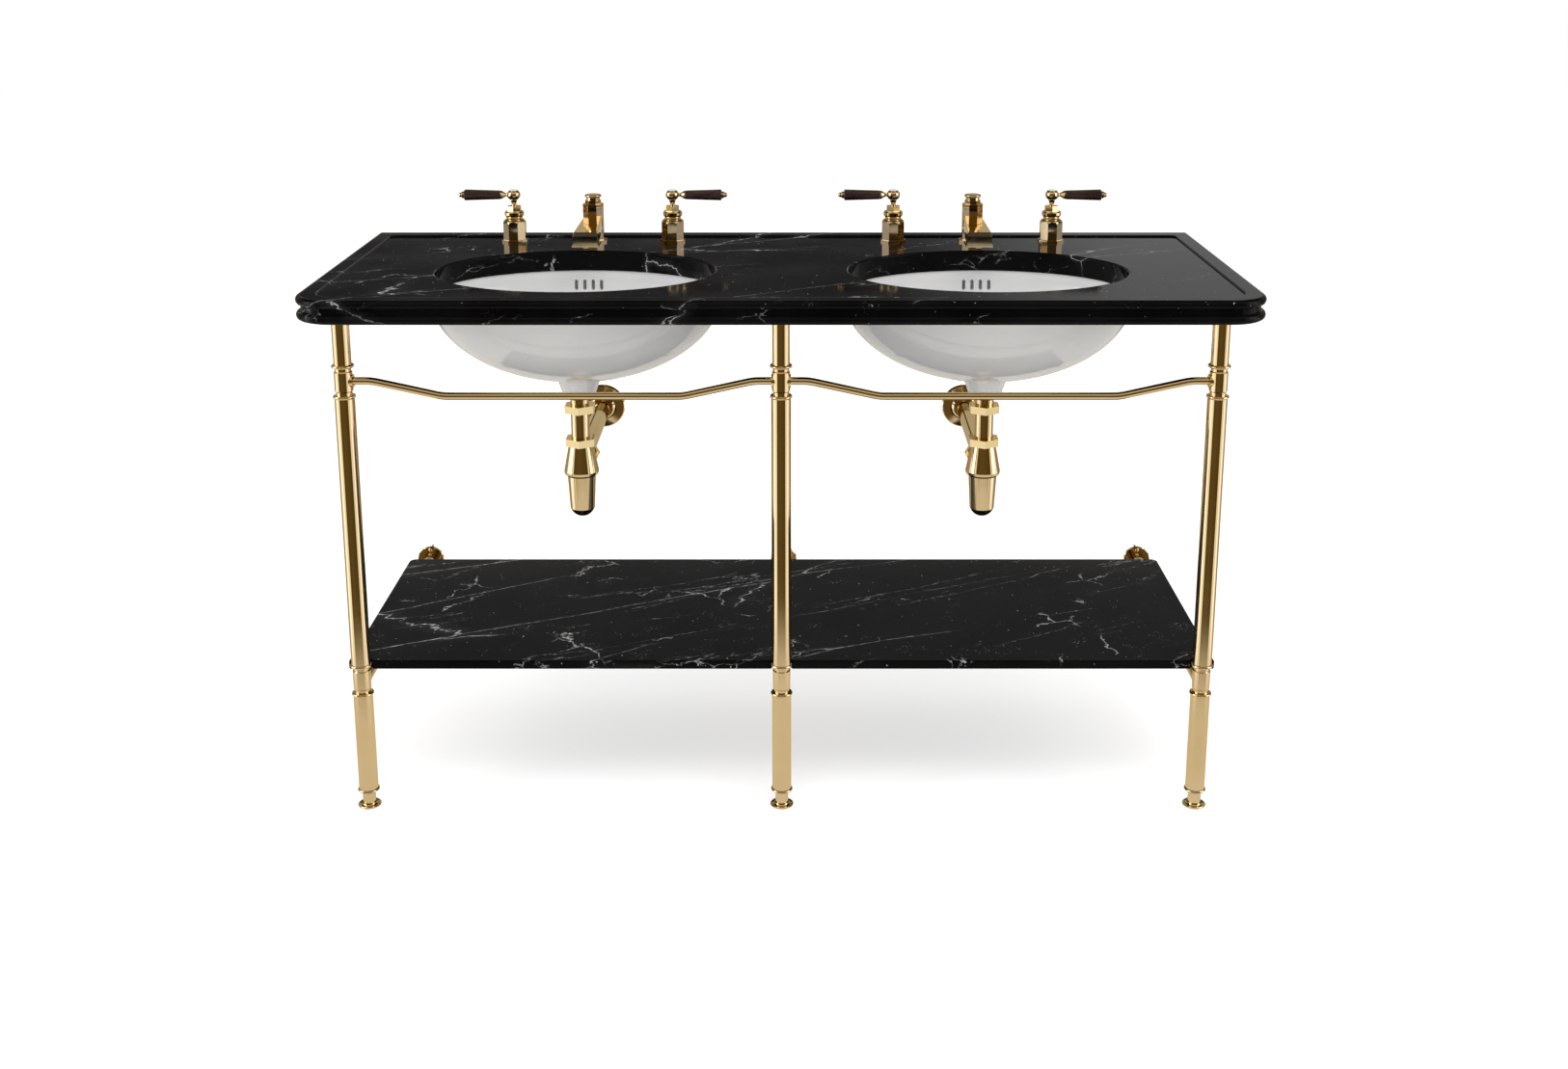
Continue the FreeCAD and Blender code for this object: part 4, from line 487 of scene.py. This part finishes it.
def make_ebony():
    """Dark hardwood with streaks and pores that run along X."""
    material, graph = new_material("ebony")
    grain = graph.noise(graph.place(0.0, GRAIN_STRETCH), GRAIN_NUMBER, 5.0, 0.6)
    figure = graph.noise(graph.place(0.0, FIGURE_STRETCH), FIGURE_NUMBER, 3.0, 0.6, 0.4)
    pores = graph.noise(graph.place(0.0, PORE_STRETCH), PORE_NUMBER, 1.0).step(*PORE_EDGE)
    streaks = figure.step(*FIGURE_EDGE) * FIGURE_SHARE + grain.step(*GRAIN_EDGE) * GRAIN_SHARE
    tone = streaks * (1 - pores * PORE_DARKNESS)
    graph.finish(
        Base_Color=graph.blend(tone, EBONY_DARK, EBONY_BROWN),
        Roughness=EBONY_ROUGHNESS + pores * PORE_ROUGHNESS + grain * GRAIN_ROUGHNESS,
        Coat_Weight=EBONY_COAT,
        Coat_Roughness=EBONY_COAT_ROUGHNESS,
        Normal=graph.bump(grain * GRAIN_RELIEF - pores, EBONY_DEPTH),
    )
    return material


ebony = make_ebony()
tell(ebony)

# %% [markdown]
# ## Hidden steel
# Behind the bowls are a few plain steel pieces: plated brackets and clips, whose
# zinc shows as pale grains, and drawn rods with marks along their length. Cells make
# the grains, each with a grey of its own, and stretched noise makes the marks.

# %% Mix the zinc plate
ZINC_DARK, ZINC_PALE = (0.42, 0.43, 0.44), (0.60, 0.61, 0.62)
ZINC_GRAINS, ZINC_GREYS = 140.0, 3.0
ZINC_DULL_NUMBER, ZINC_DULL_EDGE = 35.0, (0.4, 0.7)
ZINC_ROUGHNESS, ZINC_DULL_ROUGHNESS = 0.30, 0.2
STEEL_DEPTH = 0.00003


def make_zinc():
    """Zinc plating, a patchwork of small grains of slightly different grey."""
    material, graph = new_material("zinc_plate")
    plain = graph.place()
    cells = graph.add(
        "ShaderNodeTexVoronoi", {"feature": "F1"}, {"Vector": plain, "Scale": ZINC_GRAINS}
    )
    grain = graph.noise(cells.outputs["Color"], ZINC_GREYS, 1.0)
    dull = graph.noise(plain, ZINC_DULL_NUMBER, 4.0).step(*ZINC_DULL_EDGE)
    graph.finish(
        Base_Color=graph.blend(grain, ZINC_DARK, ZINC_PALE),
        Metallic=1.0,
        Roughness=ZINC_ROUGHNESS + dull * ZINC_DULL_ROUGHNESS,
        Normal=graph.bump(grain, STEEL_DEPTH),
    )
    return material


zinc_plate = make_zinc()
tell(zinc_plate)

# %% Mix the drawn steel
DRAWN_DARK, DRAWN_PALE = (0.50, 0.50, 0.50), (0.62, 0.62, 0.61)
DRAWN_STRETCH, DRAWN_NUMBER = (1.0, 0.03, 1.0), 1500.0
DRAWN_DULL_NUMBER = 60.0
DRAWN_ROUGHNESS, DRAWN_DULL_ROUGHNESS = 0.2, 0.15


def make_drawn_steel():
    """Bright rod that was pulled through a die, with fine marks along Y."""
    material, graph = new_material("drawn_steel")
    marks = graph.noise(graph.place(0.0, DRAWN_STRETCH), DRAWN_NUMBER, 2.0)
    dull = graph.noise(graph.place(), DRAWN_DULL_NUMBER, 3.0)
    graph.finish(
        Base_Color=graph.blend(marks, DRAWN_DARK, DRAWN_PALE),
        Metallic=1.0,
        Roughness=DRAWN_ROUGHNESS + dull * DRAWN_DULL_ROUGHNESS,
        Normal=graph.bump(marks, STEEL_DEPTH),
    )
    return material


drawn_steel = make_drawn_steel()
tell(drawn_steel)

# %% [markdown]
# ## Dressing the frame
# Each packed node already has the name of a finish, from the record. The nodes
# keep their meshes, which are the real shapes, and only get the finished material.
# The shelf has a finish of its own, since it was cut from another block.

# %% Give every node its finish
FINISHES = {
    "black_marble": top_marble,
    "white_glaze": bowl_glaze,
    "porcelain": button_porcelain,
    "ebony": ebony,
    "zinc_steel": zinc_plate,
    "drawn_steel": drawn_steel,
    "polished_brass": brass,
}
OWN_FINISHES = {"marble_shelf": shelf_marble}
slots = {part["node"]: part["material_slot"] for part in frame["record"]["subparts"]}
for node_name, node_object in frame["nodes"].items():
    finish = OWN_FINISHES.get(node_name, FINISHES[slots[node_name]])
    node_object.data.materials.clear()
    node_object.data.materials.append(finish)
print("dressed", len(slots), "nodes in", len(FINISHES) + len(OWN_FINISHES), "finishes")

# %% [markdown]
# ## The studio
# Polished metal shows the room, so the room is what draws the stripes on a brass
# tube. Real screens could stand round the sink, but the camera and the soft light
# would see them too. Here the room is only seen by mirrored rays. Such a ray only
# knows its direction, so the room is a colour for each direction: its height is the
# sine of the angle above the horizon, and its turn goes from 0 in front to 1 behind.
#
# Straight in front hangs a dark brown curtain, which makes the dark stripe down the
# middle of each leg. Beside it stand white screens, brightest in their middle, and
# past them come warm side walls.

# %% Round the room
CURTAIN = (0.090, 0.056, 0.013)
CURTAIN_FOLD = (0.120, 0.080, 0.026)
SCREEN = (1.62, 1.55, 1.78)
SCREEN_EDGE = (1.06, 1.05, 0.93)
SIDE_WALL = (0.40, 0.345, 0.25)
BACK_DARK = (0.060, 0.060, 0.062)
WALL_STOPS = [
    (0.0, CURTAIN_FOLD),
    (0.165, CURTAIN),
    (0.19, SCREEN_EDGE),
    (0.33, SCREEN_EDGE),
    (0.38, SCREEN),
    (0.56, SCREEN),
    (0.66, SIDE_WALL),
    (0.88, SIDE_WALL),
    (0.96, BACK_DARK),
]
RIGHT_SHARE, RIGHT_TURN = 0.88, (-0.2, 0.2)


def walls_round(graph, turn, across):
    """The walls from the front to the back, a little darker on the right."""
    walls = graph.add("ShaderNodeValToRGB", {"stops": WALL_STOPS}, {"Fac": turn})
    share = 1 - across.step(*RIGHT_TURN) * (1 - RIGHT_SHARE)
    shaded = graph.add(
        "ShaderNodeVectorMath", {"operation": "SCALE"}, {0: walls.outputs["Color"], "Scale": share}
    )
    return shaded.outputs[0]


print("the wall changes at turns", [spot for spot, colour in WALL_STOPS])

# %% [markdown]
# Behind the object the room is dark, because that is what the top mirrors, and the
# black stone has to stay black. Pale bands lie at the heights that the sloping pipes
# and the rings mirror. A grey band gives the shelf its sheen, and a glow that begins
# to the right of the middle lights the right-hand end of the top. At the sides, a
# dark band at the horizon keeps the stone dark when it is seen from its end.

# %% Hang the bands
BACK_PALE = (0.50, 0.48, 0.43)
BACK_GREY = (0.27, 0.27, 0.27)
BACK_GLOW = (0.46, 0.46, 0.46)
SIDE_DARK = (0.13, 0.13, 0.13)
PALE_BANDS = [(-0.60, 0.158), (0.232, 0.355), (0.460, 0.60)]
GREY_BAND = (0.355, 0.460)
GLOW_BAND = (0.158, 0.232)
SIDE_BAND = (-0.01, 0.14)
BAND_SOFTNESS = 0.005
BEHIND_TURN = (0.93, 0.97)
GLOW_ACROSS = (0.04, 0.21)
SIDE_BEGINS, SIDE_ENDS = (0.24, 0.30), (0.93, 0.90)


def band(height, low, high):
    """1 between two heights, with soft edges."""
    above = height.step(low - BAND_SOFTNESS, low + BAND_SOFTNESS)
    return above * height.step(high + BAND_SOFTNESS, high - BAND_SOFTNESS)


def hang_bands(graph, walls, height, turn, across):
    """The walls with the bands that are behind and at the sides."""
    behind = turn.step(*BEHIND_TURN)
    at_side = turn.step(*SIDE_BEGINS) * turn.step(*SIDE_ENDS)
    low_pale, middle_pale, high_pale = [band(height, *edges) for edges in PALE_BANDS]
    edged = graph.blend(band(height, *SIDE_BAND) * at_side, walls, SIDE_DARK)
    backed = graph.blend(band(height, *GREY_BAND) * behind, edged, BACK_GREY)
    glow = band(height, *GLOW_BAND) * behind * across.step(*GLOW_ACROSS)
    glowing = graph.blend(glow, backed, BACK_GLOW)
    return graph.blend((low_pale + middle_pale + high_pale) * behind, glowing, BACK_PALE)


print("pale bands behind lie at heights", PALE_BANDS)

# %% [markdown]
# Under the foot of the walls the room is a pale floor. Over them, a ceiling hangs in
# front only, which is what the tops of the rails mirror.

# %% Close the room with a floor and a ceiling
FLOOR_GLOW = (0.73, 0.68, 0.60)
CEILING_GLOW = (0.62, 0.56, 0.45)
WALL_FOOT, WALL_TOP, CEILING_END = -0.40, 0.49, 0.90
FOOT_SOFTNESS, TOP_SOFTNESS, CEILING_SOFTNESS = 0.025, 0.03, 0.05
CEILING_TURN = (0.42, 0.58)


def room_colour(graph):
    """The colour of the room towards the direction that the world shader asks for."""
    look = graph.add("ShaderNodeTexCoord").outputs["Generated"]
    flat = graph.add(
        "ShaderNodeVectorMath", {"operation": "MULTIPLY"}, {0: look, 1: (1.0, 1.0, 0.0)}
    )
    unit = graph.add("ShaderNodeVectorMath", {"operation": "NORMALIZE"}, {0: flat.outputs[0]})
    height = Value(graph, graph.add("ShaderNodeSeparateXYZ", {}, {0: look}).outputs["Z"])
    towards = graph.add("ShaderNodeSeparateXYZ", {}, {0: unit.outputs[0]})
    across = Value(graph, towards.outputs["X"])
    turn = Value(graph, towards.outputs["Y"]) * 0.5 + 0.5

    walls = hang_bands(graph, walls_round(graph, turn, across), height, turn, across)
    past_ceiling = height.step(CEILING_END - CEILING_SOFTNESS, CEILING_END + TOP_SOFTNESS)
    ceiling = graph.blend(past_ceiling, CEILING_GLOW, BACK_DARK)
    overhead = graph.blend(turn.step(*CEILING_TURN), ceiling, BACK_DARK)
    over_walls = height.step(WALL_TOP - TOP_SOFTNESS, WALL_TOP + TOP_SOFTNESS)
    above = graph.blend(over_walls, walls, overhead)
    under_walls = height.step(WALL_FOOT + FOOT_SOFTNESS, WALL_FOOT - FOOT_SOFTNESS)
    return graph.blend(under_walls, above, FLOOR_GLOW)


print("the walls stand between heights", WALL_FOOT, "and", WALL_TOP)

# %% [markdown]
# The world is plain white where the camera looks past the object. As a light it is
# an even grey, and in mirrored rays it is the room.

# %% Build the world
WORLD_LIGHT = 0.72

world = bpy.data.worlds.new("studio")
bpy.context.scene.world = world
sky = Graph(world)
ray = sky.add("ShaderNodeLightPath")
glossy, passing = ray.outputs["Is Glossy Ray"], ray.outputs["Is Transmission Ray"]
mirrored = Value(sky, glossy).most(passing)
lit = sky.blend(mirrored, (WORLD_LIGHT,) * 3, room_colour(sky))
shown = sky.blend(Value(sky, ray.outputs["Is Camera Ray"]), lit, (1.0, 1.0, 1.0))
background = sky.add("ShaderNodeBackground", {}, {"Color": shown})
sky.add("ShaderNodeOutputWorld", {}, {"Surface": background.outputs[0]})
print("the world is made of", len(world.node_tree.nodes), "nodes")

# %% [markdown]
# The floor is a wide pale disc. To the camera and to soft light it is an ordinary
# matt surface that holds the shadow, with a little glow so that it is as white as the
# rest of the background. Mirrored rays pass through it to the room.

# %% Lay the floor
FLOOR_RADIUS, FLOOR_SIDES = 14.0, 96
FLOOR_WHITE = (0.90, 0.90, 0.895)
FLOOR_LIFT = 0.50

disc = bmesh.new()
bmesh.ops.create_circle(disc, cap_ends=True, segments=FLOOR_SIDES, radius=FLOOR_RADIUS)
floor_mesh = bpy.data.meshes.new("floor")
disc.to_mesh(floor_mesh)
disc.free()
floor = bpy.data.objects.new("floor", floor_mesh)
bpy.context.scene.collection.objects.link(floor)
print("floor is", 2 * FLOOR_RADIUS, "m wide")

# %% Paint the floor
floor_material = bpy.data.materials.new("pale_floor")
ground = Graph(floor_material)
matt = ground.add("ShaderNodeBsdfDiffuse", {}, {"Color": FLOOR_WHITE})
glow_light = {"Color": (1.0, 1.0, 1.0), "Strength": FLOOR_LIFT}
lift = ground.add("ShaderNodeEmission", {}, glow_light)
raised = ground.add("ShaderNodeAddShader", {}, {0: matt.outputs[0], 1: lift.outputs[0]})
open_way = ground.add("ShaderNodeBsdfTransparent")
floor_ray = ground.add("ShaderNodeLightPath").outputs
seen = ground.add(
    "ShaderNodeMixShader",
    {},
    {0: floor_ray["Is Camera Ray"], 1: matt.outputs[0], 2: raised.outputs[0]},
)
whole = ground.add(
    "ShaderNodeMixShader",
    {},
    {0: floor_ray["Is Glossy Ray"], 1: seen.outputs[0], 2: open_way.outputs[0]},
)
ground.add("ShaderNodeOutputMaterial", {}, {"Surface": whole.outputs[0]})
floor.data.materials.append(floor_material)
print("floor glows with strength", FLOOR_LIFT)

# %% [markdown]
# Three soft lamps shape the white bowls and put lights on the glaze and the brass: a
# large one above and in front, and one at each side. The large one would draw a hard
# white line along every rail, so mirrored rays pass it by.

# %% Hang the lamps
LAMPS = {
    "overhead_lamp": ((0.3, -1.4, 2.9), (2.6, 1.4), 26.0),
    "left_lamp": ((-3.0, -0.9, 1.5), (1.2, 2.2), 22.0),
    "right_lamp": ((3.0, -0.9, 1.5), (1.2, 2.2), 15.0),
}
LAMP_TARGET = Vector((0.0, 0.0, 0.55))
UNMIRRORED_LAMP = "overhead_lamp"
for name, (spot, (width, tall), power) in LAMPS.items():
    light = bpy.data.lights.new(name, "AREA")
    light.shape = "RECTANGLE"
    light.size, light.size_y = width, tall
    light.energy = power
    lamp = bpy.data.objects.new(name, light)
    lamp.location = spot
    lamp.rotation_euler = (LAMP_TARGET - lamp.location).to_track_quat("-Z", "Y").to_euler()
    lamp.visible_glossy = name != UNMIRRORED_LAMP
    bpy.context.scene.collection.objects.link(lamp)
print("lamps:", ", ".join(LAMPS))

# %% [markdown]
# ## Closing
